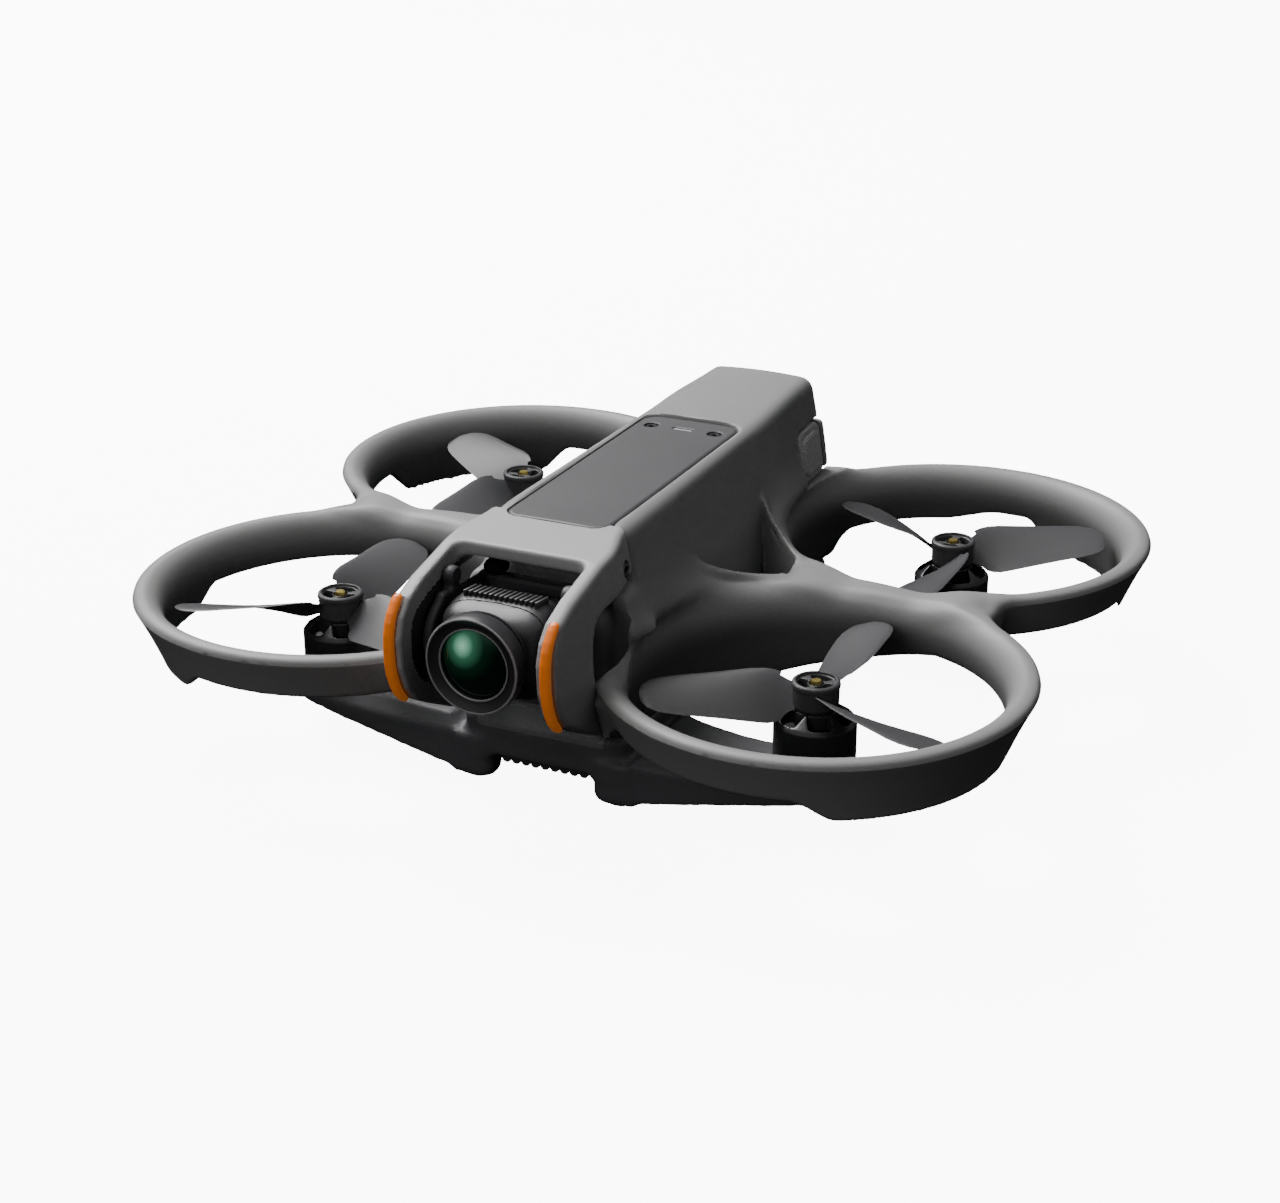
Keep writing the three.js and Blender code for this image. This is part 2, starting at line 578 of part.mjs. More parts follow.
for (const { tag, side } of SIDES) {
  addPiece(`bumper_strip_${tag}`, reflect(
    carryAcross(bumperStrip(), 16.6, BUMPER_HALF_WIDTH - 0.2), side), 'orange');
  addPiece(`bumper_screw_${tag}`, reflect(across(1.5, 17.1, 19, -53.5, 54.5, 12), side), 'steel');
  addPiece(`panel_screw_${tag}`, upright(SCREW.radius, SCREW.bottom, SCREW.top, 12)
    .translate(side * SCREW.x, SCREW.y, 0), 'steel');
  addPiece(`damper_${tag}`, turned(DAMPER_PROFILE, 14).translate(side * 11.6, -56.2, 0), 'rubber');
  addPiece(`antenna_${tag}`, reflect(block([14.2, 15], [18, 44], [18, 28]), side), 'steel');
  addPiece(`vision_lens_${tag}`, upright(3.5, -2.2, 1.4, 16)
    .rotateX(-Math.PI / 4).translate(side * 11, 61, 9.6), 'glass');
  for (const { tag: endTag, end } of ENDS) {
    addPiece(`foot_${endTag}_${tag}`, footOutline(0, 0, FRAME_BOTTOM - GAP, side, end), 'rubber');
  }
}

for (const corner of CORNERS) {
  const place = (geometry) => geometry.translate(corner.x, corner.y, 0);
  addPiece(`motor_base_${corner.tag}`, place(turnedRing(MOTOR_BASE_PROFILE, 16)), 'motor');
  addPiece(`rotor_bell_${corner.tag}`, place(bell()), 'motor');
  addPiece(`propeller_${corner.tag}`, place(toGeometry(propeller(corner))), 'propeller');
}

// ---------------------------------------------------------------- pieces of the camera
const alongLens = (geometry) => faceNose(geometry).translate(0, 0, PIVOT_Z);
addPiece('camera_housing', toGeometry(cameraHousing()), 'black');
addPiece('fin_cover', toGeometry(finCover()), 'black');
addPiece('lens_barrel', alongLens(turnedRing(BARREL_PROFILE, 24)), 'black');
addPiece('lens_bezel', alongLens(turnedRing(BEZEL_PROFILE, 28)), 'black');
addPiece('front_lens', alongLens(turned(LENS_PROFILE, 20)), 'glass');
addPiece('sensor_board', block([-8, 8], [-72, -70.8], [PIVOT_Z - 7, PIVOT_Z + 7]), 'board');
addPiece('tilt_shaft', across(TILT_SHAFT_RADIUS, -15.2, -12.6, PIVOT_Y, PIVOT_Z, 16), 'steel');

// ---------------------------------------------------------------- pieces of the battery
addPiece('battery_case', toGeometry(batteryCase()), 'panel');
addPiece('cell_pack', block([-10.4, 10.4], [-3, 54], [31.2, 53.6]), 'cells');
addPiece('battery_connector', block([-8, 8], [-9.6, -6.4], [34, 44]), 'black');
addPiece('battery_cap', toGeometry(batteryCap()), 'hull');
addPiece('charge_lights', block([-6, 6], [CAP_REAR + GAP, CAP_REAR + 0.8], [38.6, 40]), 'glass');
addPiece('power_button', faceNose(upright(BUTTON.radius, -BUTTON.rear, -BUTTON.front, 20))
  .translate(0, 0, BUTTON.z), 'black');
for (const { tag, side } of SIDES) {
  addPiece(`buckle_${tag}`, reflect(buckle(), side), 'panel');
}

export default drone;
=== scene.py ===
"""Looks of the ducted FPV drone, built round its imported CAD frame. Sizes below are in millimetres;
every mesh is turned into metres as it is made. Nose towards -Y, +Z up."""
import math

import bmesh
import bpy
import numpy as np
from mathutils import Matrix, Vector


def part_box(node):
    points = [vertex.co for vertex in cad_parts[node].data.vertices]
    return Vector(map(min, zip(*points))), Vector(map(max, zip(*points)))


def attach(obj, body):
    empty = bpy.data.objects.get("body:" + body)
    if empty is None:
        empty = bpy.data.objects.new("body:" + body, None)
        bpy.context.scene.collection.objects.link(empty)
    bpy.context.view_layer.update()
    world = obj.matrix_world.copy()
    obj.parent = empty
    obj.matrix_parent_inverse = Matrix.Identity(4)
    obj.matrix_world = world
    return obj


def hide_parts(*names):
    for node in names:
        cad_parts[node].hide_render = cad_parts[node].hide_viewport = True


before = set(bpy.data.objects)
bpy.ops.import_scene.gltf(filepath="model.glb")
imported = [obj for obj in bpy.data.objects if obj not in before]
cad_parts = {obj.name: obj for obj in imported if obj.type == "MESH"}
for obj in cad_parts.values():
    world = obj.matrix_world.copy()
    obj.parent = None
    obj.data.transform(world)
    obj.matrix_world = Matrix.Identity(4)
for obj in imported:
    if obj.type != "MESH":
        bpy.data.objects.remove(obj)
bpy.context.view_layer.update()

MM = 0.001


# ---- sizes taken from the frame
def node_box(name):
    low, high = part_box(name)
    return np.array(low) / MM, np.array(high) / MM


def middle(name):
    low, high = node_box(name)
    return (low + high) / 2


HALF_SPAN_X, HALF_SPAN_Y, CROWN = node_box("upper_shell")[1]
ROTOR = middle("motor_base_front_right") * np.array([1, -1, 0])
ROTOR_X, ROTOR_Y = float(ROTOR[0]), float(ROTOR[1])
RING_OUTER = HALF_SPAN_X - ROTOR_X
PANEL_LOW, PANEL_HIGH = node_box("top_panel")
PIVOT = middle("tilt_motor") * np.array([0, 1, 1])
PIVOT_Y, PIVOT_Z = float(PIVOT[1]), float(PIVOT[2])
CORNERS = {
    "front_left": (-1, -1), "front_right": (1, -1), "rear_left": (-1, 1), "rear_right": (1, 1),
}
SIDES = ((-1, "left"), (1, "right"))


# ---- camera
def add_camera():
    """The eye point, heading and lens of the camera view."""
    heading, height, roll = map(math.radians, (25.30, 22.638, -0.18))
    back = Vector((math.sin(heading) * math.cos(height), -math.cos(heading) * math.cos(height), math.sin(height)))
    right = Vector((math.cos(heading), math.sin(heading), 0))
    up = back.cross(right)
    turned_right = right * math.cos(roll) + up * math.sin(roll)
    turned_up = up * math.cos(roll) - right * math.sin(roll)
    distance, aside, above, look_height = 579.727, -3.432, -11.635, 36.3
    eye = back * distance + turned_right * aside + turned_up * above + Vector((0, 0, look_height))
    data = bpy.data.cameras.new("camera")
    data.sensor_width = 36
    data.lens = 68.96
    data.clip_start = 0.01
    data.clip_end = 20
    camera = bpy.data.objects.new("camera", data)
    axes = Matrix((turned_right, turned_up, back)).transposed()
    camera.matrix_world = Matrix.Translation(eye * MM) @ axes.to_4x4()
    bpy.context.collection.objects.link(camera)
    bpy.context.scene.camera = camera


add_camera()


# ---- smooth solids
def smax(a, b, k):
    """The larger of two distances, with the corner between them rounded over k."""
    h = np.maximum(k - np.abs(a - b), 0) / k
    return np.maximum(a, b) + h * h * k / 4


def smin(a, b, k):
    return -smax(-a, -b, k)


def ramp(value, start, end):
    t = np.clip((value - start) / (end - start), 0, 1)
    return t * t * (3 - 2 * t)


def slab(value, low, high):
    return np.maximum(low - value, value - high)


def rounded_box(x, y, z, half, centre, radius):
    qx = np.abs(x - centre[0]) - half[0] + radius
    qy = np.abs(y - centre[1]) - half[1] + radius
    qz = np.abs(z - centre[2]) - half[2] + radius
    outside = np.sqrt(np.maximum(qx, 0) ** 2 + np.maximum(qy, 0) ** 2 + np.maximum(qz, 0) ** 2)
    return outside + np.minimum(np.maximum(qx, np.maximum(qy, qz)), 0) - radius


def outline_distance(u, v, points):
    """Signed distance in a plane to a closed outline given by its corner points."""
    nearest = np.full(u.shape, 1e9, np.float32)
    inside = np.zeros(u.shape, bool)
    for (u0, v0), (u1, v1) in zip(points, points[1:] + points[:1]):
        du, dv = u1 - u0, v1 - v0
        t = np.clip(((u - u0) * du + (v - v0) * dv) / (du * du + dv * dv), 0, 1)
        nearest = np.minimum(nearest, (u - u0 - t * du) ** 2 + (v - v0 - t * dv) ** 2)
        if dv != 0:
            crosses = ((v0 <= v) & (v < v1)) | ((v1 <= v) & (v < v0))
            inside ^= crosses & (u < u0 + (v - v0) / dv * du)
    return np.where(inside, -1, 1) * np.sqrt(nearest)


def carve(shape, tool, k=0.0):
    """Takes a tool's volume out of a shape; the edge that it leaves is rounded over k."""
    return smax(shape, -tool, k) if k else np.maximum(shape, -tool)


def slope_of(solid, p):
    """Unit gradient of a distance function at the points p."""
    e = 0.05
    g = np.stack([solid(*(p + e * axis).T) - solid(*(p - e * axis).T) for axis in np.eye(3)], 1)
    return g / np.maximum(np.linalg.norm(g, axis=1, keepdims=True), 1e-9)


LAYERS_AT_ONCE = 24
PULL_TO_MIDDLE = 0.08         # keeps points near the middle of their cell on flat stretches


def contour(solid, low, high, step):
    """The surface where solid(x, y, z) is zero, as points and quads, with its edges kept."""
    low, high = np.array(low, float), np.array(high, float)
    count = np.ceil((high - low) / step).astype(int) + 1
    axes = [low[i] + step * np.arange(count[i]) for i in range(3)]
    value = np.empty(count, np.float32)
    for i in range(0, count[0], LAYERS_AT_ONCE):
        layers = slice(i, i + LAYERS_AT_ONCE)
        grid = np.meshgrid(axes[0][layers], axes[1], axes[2], indexing="ij")
        value[layers] = solid(*(g.astype(np.float32) for g in grid))
    inside = value < 0
    cells = count - 1
    total = int(np.prod(cells))
    normals_sum = np.zeros((total, 3, 3))
    target_sum = np.zeros((total, 3))
    point_sum = np.zeros((total, 3))
    hits = np.zeros(total)
    quads = []
    for axis in range(3):
        others = [a for a in range(3) if a != axis]
        if axis == 1:
            others = others[::-1]
        first = [slice(None)] * 3
        second = [slice(None)] * 3
        first[axis] = slice(0, -1)
        second[axis] = slice(1, None)
        crossing = inside[tuple(first)] != inside[tuple(second)]
        where = np.argwhere(crossing)
        keep = np.ones(len(where), bool)
        for other in others:
            keep &= (where[:, other] > 0) & (where[:, other] < count[other] - 1)
        where = where[keep]
        after = where.copy()
        after[:, axis] += 1
        a = value[tuple(where.T)]
        b = value[tuple(after.T)]
        points = low + where * step
        points[:, axis] += step * a / (a - b)
        normals = slope_of(solid, points)
        starts_inside = inside[tuple(where.T)]
        ids = []
        for du, dv in ((0, 0), (-1, 0), (-1, -1), (0, -1)):
            cell = where.copy()
            cell[:, others[0]] += du
            cell[:, others[1]] += dv
            index = np.ravel_multi_index(cell.T, cells)
            ids.append(index)
            np.add.at(normals_sum, index, normals[:, :, None] * normals[:, None, :])
            np.add.at(target_sum, index, normals * np.sum(normals * points, 1, keepdims=True))
            np.add.at(point_sum, index, points)
            np.add.at(hits, index, 1)
        ids = np.stack(ids, 1)
        ids[~starts_inside] = ids[~starts_inside, ::-1]
        quads.append(ids)
    quads = np.concatenate(quads)
    used = np.unique(quads)
    centre = point_sum[used] / hits[used, None]
    matrix = normals_sum[used] + PULL_TO_MIDDLE * np.eye(3)
    vector = target_sum[used] - np.einsum("nij,nj->ni", normals_sum[used], centre)
    points = centre + np.linalg.solve(matrix, vector[:, :, None])[:, :, 0]
    corner = low + np.stack(np.unravel_index(used, cells), 1) * step
    points = np.clip(points, corner, corner + step)
    renumber = np.full(total, -1)
    renumber[used] = np.arange(len(used))
    return points, renumber[quads]


# ---- making pieces
def link_object(name, mesh):
    piece = bpy.data.objects.new(name, mesh)
    bpy.context.collection.objects.link(piece)
    return piece


def smooth_shading(mesh, sharp):
    """Smooth faces, with edges kept sharp where they bend by more than sharp degrees."""
    mesh.polygons.foreach_set("use_smooth", np.ones(len(mesh.polygons), bool))
    mesh.set_sharp_from_angle(angle=math.radians(sharp))


def new_object(name, mesh, finish, sharp):
    smooth_shading(mesh, sharp)
    mesh.materials.append(finish)
    return link_object(name, mesh)


def object_from_bmesh(bm, name, finish, sharp):
    mesh = bpy.data.meshes.new(name)
    bm.to_mesh(mesh)
    bm.free()
    return new_object(name, mesh, finish, sharp)


def object_from_arrays(name, points, faces, finish, sharp):
    """A mesh piece from points in mm and lists of point numbers."""
    mesh = bpy.data.meshes.new(name)
    mesh.from_pydata((np.asarray(points, float) * MM).tolist(), [], [list(map(int, f)) for f in faces])
    mesh.validate()
    return new_object(name, mesh, finish, sharp)


def solid_piece(name, solid, low, high, step, finish, sharp=35.0):
    """A piece made from a distance function, in mm."""
    pad = 1.5 * step
    points, faces = contour(solid, np.array(low) - pad, np.array(high) + pad, step)
    return object_from_arrays(name, points, faces, finish, sharp)


def place(piece, body, slot, *nodes):
    """Fixes a finished piece to its body and hides the CAD nodes it stands for; the slot, its finish's name, is not
    used.
    """
    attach(piece, body)
    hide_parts(*nodes)


def merge(name, pieces):
    """Joins pieces into one object that keeps each one's material."""
    points, faces, indices, materials = [], [], [], []
    for piece in pieces:
        base, data = len(points), piece.data
        points += [tuple(v.co) for v in data.vertices]
        materials += [m for m in data.materials if m not in materials]
        for polygon in data.polygons:
            faces.append([base + i for i in polygon.vertices])
            indices.append(materials.index(data.materials[polygon.material_index]))
        bpy.data.objects.remove(piece)
    mesh = bpy.data.meshes.new(name)
    mesh.from_pydata(points, [], faces)
    for finish in materials:
        mesh.materials.append(finish)
    mesh.polygons.foreach_set("material_index", indices)
    smooth_shading(mesh, 35)
    return link_object(name, mesh)


def changed_copy(piece, name, matrix, mirror=False):
    mesh = piece.data.copy()
    mesh.name = name
    bm = bmesh.new()
    bm.from_mesh(mesh)
    bm.transform(matrix)
    if mirror:
        bmesh.ops.reverse_faces(bm, faces=bm.faces)
    bm.to_mesh(mesh)
    bm.free()
    return link_object(name, mesh)


def mirrored(piece, name):
    """A copy of a piece on the other side of the drone."""
    return changed_copy(piece, name, Matrix.Diagonal((-1, 1, 1, 1)), mirror=True)


def moved_copy(piece, name, at, turn=0.0):
    """A copy of a piece turned about the vertical (degrees) and moved, in mm."""
    return changed_copy(
        piece, name, Matrix.Translation(Vector(at) * MM) @ Matrix.Rotation(math.radians(turn), 4, "Z"))


LATHE_TURNS = {"Z": (0, "X"), "-Y": (90, "X"), "X": (90, "Y"), "-X": (-90, "Y")}


def lathe(name, profile, finish, centre=(0, 0, 0), axis="Z", steps=64, sharp=28.0, closed=False):
    """A turned piece. The profile (radius, along) is in mm; the piece faces along the axis."""
    angles = [2 * math.pi * i / steps for i in range(steps)]
    bm = bmesh.new()
    rings = []
    for r, h in profile:
        if r < 1e-6:
            rings.append([bm.verts.new((0, 0, h))])
        else:
            rings.append([bm.verts.new((r * math.cos(a), r * math.sin(a), h)) for a in angles])
    pairs = list(zip(rings, rings[1:]))
    if closed:
        pairs.append((rings[-1], rings[0]))
    for lower, upper in pairs:
        for i in range(steps):
            spots = ((lower, i), (lower, i + 1), (upper, i + 1), (upper, i))
            corners = list(dict.fromkeys(ring[k % len(ring)] for ring, k in spots))
            if len(corners) > 2:
                bm.faces.new(corners)
    degrees, about = LATHE_TURNS[axis]
    turn = Matrix.Rotation(math.radians(degrees), 4, about)
    bm.transform(Matrix.Scale(MM, 4) @ Matrix.Translation(centre) @ turn)
    bmesh.ops.recalc_face_normals(bm, faces=bm.faces)
    return object_from_bmesh(bm, name, finish, sharp)


def slab_piece(name, outline, low, high, finish, bevel=0.4, segments=3, axis="Z", mirror=False):
    """An outline carried from low to high along an axis, with its edges rounded.
    Outlines are (x, y) along Z, (y, z) along X and (x, z) along Y."""
    bm = bmesh.new()
    spread = {"Z": lambda u, v, w: (u, v, w), "X": lambda u, v, w: (w, u, v), "Y": lambda u, v, w: (u, w, v)}[axis]
    sides = [[bm.verts.new(spread(u, v, w)) for u, v in outline] for w in (low, high)]
    bm.faces.new(sides[0][::-1])
    bm.faces.new(sides[1])
    count = len(outline)
    for i in range(count):
        j = (i + 1) % count
        bm.faces.new((sides[0][i], sides[0][j], sides[1][j], sides[1][i]))
    bmesh.ops.recalc_face_normals(bm, faces=bm.faces)
    edges = [e for e in bm.edges if e.calc_face_angle(0) > math.radians(25)]
    bmesh.ops.bevel(bm, geom=edges, offset=bevel, segments=segments, profile=0.5, affect="EDGES", clamp_overlap=True)
    if mirror:
        bmesh.ops.scale(bm, vec=(-1, 1, 1), verts=bm.verts)
        bmesh.ops.reverse_faces(bm, faces=bm.faces)
    bm.transform(Matrix.Scale(MM, 4))
    return object_from_bmesh(bm, name, finish, 30)


def box_piece(name, x, y, z, finish, bevel=0.3, segments=2):
    outline = [(x[0], y[0]), (x[1], y[0]), (x[1], y[1]), (x[0], y[1])]
    return slab_piece(name, outline, z[0], z[1], finish, bevel, segments)


CORNER_STEPS = 6


def rounded_outline(u, v, radius):
    """A rectangle from u[0] to u[1] and v[0] to v[1] with round corners, anticlockwise."""
    points = []
    for cu, cv, start in ((u[1], v[0], -90), (u[1], v[1], 0), (u[0], v[1], 90), (u[0], v[0], 180)):
        mu = cu - math.copysign(radius, cu - (u[0] + u[1]) / 2)
        mv = cv - math.copysign(radius, cv - (v[0] + v[1]) / 2)
        for i in range(CORNER_STEPS + 1):
            a = math.radians(start + 90 * i / CORNER_STEPS)
            points.append((mu + radius * math.cos(a), mv + radius * math.sin(a)))
    return points


def smooth_closed(points, rounds=2):
    """An outline with its corners cut round."""
    for _ in range(rounds):
        cut = []
        for (a0, b0), (a1, b1) in zip(points, points[1:] + points[:1]):
            cut.append((0.78 * a0 + 0.22 * a1, 0.78 * b0 + 0.22 * b1))
            cut.append((0.22 * a0 + 0.78 * a1, 0.22 * b0 + 0.78 * b1))
        points = cut
    return points


def face_arrays(piece):
    """Centres (mm) and normals of a piece's faces."""
    polygons = piece.data.polygons
    centre, normal = np.empty(len(polygons) * 3), np.empty(len(polygons) * 3)
    polygons.foreach_get("center", centre)
    polygons.foreach_get("normal", normal)
    return centre.reshape(-1, 3) / MM, normal.reshape(-1, 3)


def second_finish(piece, finish, chosen):
    """Gives a piece's chosen faces another material."""
    piece.data.materials.append(finish)
    piece.data.polygons.foreach_set("material_index", chosen.astype(int))


# ---- materials
def material(name):
    made = bpy.data.materials.new(name)
    made.use_nodes = True
    return made, made.node_tree, made.node_tree.nodes["Principled BSDF"]


def set_inputs(tree, node, values):
    """Sets a node's inputs: a socket is linked, anything else becomes the input's own value."""
    for key, value in values.items():
        if isinstance(value, bpy.types.NodeSocket):
            tree.links.new(value, node.inputs[key])
        else:
            node.inputs[key].default_value = value


def add_node(tree, kind, values, output=0, **settings):
    """Adds a shader node and returns one of its outputs."""
    node = tree.nodes.new("ShaderNode" + kind)
    for key, value in settings.items():
        setattr(node, key, value)
    set_inputs(tree, node, values)
    return node.outputs[output]


def add_math(tree, operation, *values):
    return add_node(tree, "Math", dict(enumerate(values)), operation=operation)


def add_colour_mix(tree, factor, a, b):
    return add_node(tree, "Mix", {"Factor": factor, "A": a, "B": b}, "Result", data_type="RGBA")


def add_ramp(tree, factor, stops):
    """A colour ramp with its stops given as (position, (red, green, blue))."""
    node = tree.nodes.new("ShaderNodeValToRGB")
    elements = node.color_ramp.elements
    for element, (position, colour) in zip(elements, (stops[0], stops[-1])):
        element.position = position
        element.color = (*colour, 1)
    for position, colour in stops[1:-1]:
        elements.new(position).color = (*colour, 1)
    tree.links.new(factor, node.inputs["Fac"])
    return node.outputs["Color"]


def object_position(tree):
    return add_node(tree, "TexCoord", {}, "Object")


def grey(level):
    """Linear value of an 8-bit display level."""
    c = level / 255
    return c / 12.92 if c <= 0.04045 else ((c + 0.055) / 1.055) ** 2.4


def tone(*levels):
    if len(levels) == 1:
        levels = levels * 3
    return tuple(grey(v) for v in levels) + (1.0,)


def scaled(colour, factor, lift=0.0):
    return tuple(min(c * factor + lift, 1) for c in colour[:3]) + (1,)


def plastic(name, colour, roughness, *, grain=0.05, grain_size=0.35, spread=0.06, specular=0.5, metallic=0.0,
            wear=0.0, coat=0.0, brushed=False):
    """Moulded plastic or metal: fine surface grain, faint colour mottling and lighter worn edges.
    Sizes are in mm; grain is the bump's height in mm."""
    made, tree, shader = material(name)
    at = object_position(tree)
    grain_at = add_node(tree, "Mapping", {"Vector": at, "Scale": (1, 1, 0.06)}) if brushed else at
    fine = add_node(tree, "TexNoise", {
        "Vector": grain_at, "Scale": 1 / (grain_size * MM), "Detail": 3, "Roughness": 0.6})
    broad = add_node(tree, "TexNoise", {"Vector": at, "Scale": 1 / (MOTTLE_SIZE * MM), "Detail": 4})
    mottle = add_math(tree, "MULTIPLY_ADD", broad, 0.6, add_math(tree, "MULTIPLY", fine, 0.4))
    shade = add_colour_mix(tree, mottle, scaled(colour, 1 - spread), scaled(colour, 1 + spread))
    if wear:
        edge = add_node(tree, "NewGeometry", {}, "Pointiness")
        pick = add_node(tree, "MapRange", {"Value": edge, "From Min": 0.52, "From Max": 0.62, "To Max": wear})
        shade = add_colour_mix(tree, pick, shade, scaled(colour, 1.8, 0.03))
    gloss = add_node(tree, "MapRange", {
        "Value": mottle, "To Min": max(roughness - 0.06, 0.02), "To Max": roughness + 0.06})
    bump = add_node(tree, "Bump", {"Height": fine, "Strength": 0.6, "Distance": grain * MM})
    set_inputs(tree, shader, {
        "Base Color": shade, "Roughness": gloss, "Normal": bump, "Metallic": metallic,
        "Specular IOR Level": specular, "Coat Weight": coat, "Coat Roughness": 0.1})
    return made


MOTTLE_SIZE = 14.0
HULL_PLASTIC = dict(colour=tone(136), roughness=0.5, grain=0.05, grain_size=0.32, wear=0.12)
FRAME_PLASTIC = dict(roughness=0.5, grain=0.06, grain_size=0.4, spread=0.12)
HULL_GREY = plastic("hull_grey", **HULL_PLASTIC)
BUMPER_GREY = plastic("bumper_light_grey", tone(158), 0.46, grain=0.04, grain_size=0.3, wear=0.12)
PANEL_GREY = plastic("panel_grey", tone(74, 74, 76), 0.46, grain=0.07, grain_size=0.28, spread=0.1, wear=0.15)
FRAME_BLACK = plastic("frame_black", tone(60, 60, 63), wear=0.2, **FRAME_PLASTIC)
# The lower frame uses a lighter copy of the black frame plastic: painted light that lifts it where the guards shade
# it.
FRAME_PAINTED_LIGHT = plastic("lower_frame_painted_light", tone(86, 86, 89), wear=0.15, **FRAME_PLASTIC)
CHIN_PAINTED_LIGHT = plastic("chin_painted_light", tone(112, 112, 115), 0.45, grain=0.04, spread=0.08, wear=0.1)
ORANGE_WITH_PAINTED_GLOW = plastic("strip_orange_painted_glow", tone(255, 118, 8), 0.34, grain=0.02, grain_size=0.5, spread=0.08, coat=0.25)
PROP_GREY = plastic(
    "propeller_grey", tone(66, 66, 68), 0.44, grain=0.015, grain_size=0.5, spread=0.05, specular=0.35, wear=0.1)
RUBBER = plastic("rubber_black", tone(26, 26, 28), 0.85, grain=0.08, grain_size=0.25, spread=0.12)
MOTOR_BLACK = plastic("motor_black", tone(58, 58, 60), 0.33, grain=0.01, grain_size=0.2, specular=0.7, metallic=0.4)
STEEL = plastic("steel", tone(165, 165, 168), 0.28, grain=0.01, grain_size=0.3, metallic=1.0, brushed=True)
BRASS = plastic("brass", tone(188, 170, 98), 0.3, grain=0.01, grain_size=0.2, metallic=0.9)
WINDOW = plastic("window_black", tone(18, 18, 21), 0.12, grain=0.002, spread=0.1, coat=0.6)
LIGHT_WINDOW = plastic("status_window", tone(196, 198, 200), 0.25, grain=0.01, grain_size=0.3, coat=0.3)
LENS_BODY = plastic("lens_body_black", tone(52, 50, 53), 0.36, grain=0.02, grain_size=0.25, spread=0.1, wear=0.3)
RIM_GREY = plastic(
    "lens_rim_grey", tone(176, 176, 178), 0.25, grain=0.005, grain_size=0.2, spread=0.05, metallic=0.3)
CAMERA_BLACK = plastic("camera_black", tone(56, 56, 58), 0.38, grain=0.03, grain_size=0.22, spread=0.08, wear=0.15)
BOARD = plastic("board_green", tone(24, 52, 36), 0.45, grain=0.03, grain_size=0.6, spread=0.2)
WRAP = plastic("battery_wrap", tone(60, 68, 80), 0.5, grain=0.03, grain_size=1.0, spread=0.15)
# The strips' orange emission is painted light: a faint glow though they are no lamp.
set_inputs(ORANGE_WITH_PAINTED_GLOW.node_tree, ORANGE_WITH_PAINTED_GLOW.node_tree.nodes["Principled BSDF"], {
    "Emission Color": (1.0, 0.3, 0.04, 1), "Emission Strength": 0.14})


def duct_painted_shade():
    """Hull plastic with painted shade: its colour darkens down the inside of a duct, where shade falls."""
    made = plastic("duct_painted_shade", **HULL_PLASTIC)
    tree, shader = made.node_tree, made.node_tree.nodes["Principled BSDF"]
    hull_colour = shader.inputs["Base Color"].links[0].from_socket
    height = add_node(tree, "SeparateXYZ", {"Vector": object_position(tree)}, "Z")
    painted_shade_fade = add_node(tree, "MapRange", {"Value": height, "From Min": 26.5 * MM, "From Max": 35.5 * MM},
                   interpolation_type="SMOOTHSTEP")
    set_inputs(tree, shader, {"Base Color": add_colour_mix(tree, painted_shade_fade, tone(84), hull_colour)})
    return made


def glass_painted_highlight(highlight_at):
    """Dark lens glass with a green-tinted coat and a painted highlight: pale green is painted into its colour round
    the point highlight_at (mm) and given off as a faint painted glow.
    """
    made, tree, shader = material("glass_painted_highlight")
    at = object_position(tree)
    away = add_node(tree, "VectorMath", {0: at, 1: Vector(highlight_at) * MM}, "Value", operation="DISTANCE")
    painted_highlight = add_node(tree, "MapRange", {"Value": away, "From Min": 8.6 * MM, "From Max": 0.0})
    film = add_node(tree, "TexNoise", {"Vector": at, "Scale": 160})
    shade = add_ramp(tree, add_math(tree, "MULTIPLY_ADD", film, 0.08, painted_highlight), (
        (0.12, (0.0006, 0.0022, 0.0015)), (0.45, (0.003, 0.02, 0.013)), (0.72, (0.07, 0.17, 0.12)),
        (1.0, (0.66, 0.88, 0.76))))
    set_inputs(tree, shader, {
        "Base Color": shade, "Roughness": 0.06, "Coat Weight": 1.0, "Coat Roughness": 0.02,
        "Coat Tint": (0.6, 1.0, 0.8, 1), "Specular IOR Level": 0.9, "Specular Tint": (0.45, 1.0, 0.72, 1),
        "Emission Color": shade, "Emission Strength": 0.38})
    return made


def dotted_plastic():
    """Panel plastic with rows of tiny raised dots for grip."""
    made = plastic("grip_grey", tone(186, 186, 188), 0.5, grain=0.03, grain_size=0.3, wear=0.1)
    tree, shader = made.node_tree, made.node_tree.nodes["Principled BSDF"]
    part = tree.nodes.new("ShaderNodeSeparateXYZ")
    set_inputs(tree, part, {"Vector": object_position(tree)})
    waves = []
    for operation in ("ADD", "SUBTRACT"):
        along = add_math(tree, operation, part.outputs["Y"], part.outputs["Z"])
        waves.append(add_math(tree, "SINE", add_math(tree, "MULTIPLY", along, 2 * math.pi / (DOT_PITCH * MM))))
    grain = shader.inputs["Normal"].links[0].from_socket
    set_inputs(tree, shader, {"Normal": add_node(tree, "Bump", {
        "Height": add_math(tree, "MULTIPLY", *waves), "Strength": 0.7, "Distance": 0.22 * MM, "Normal": grain})})
    return made


DOT_PITCH = 0.95
GRIP = dotted_plastic()


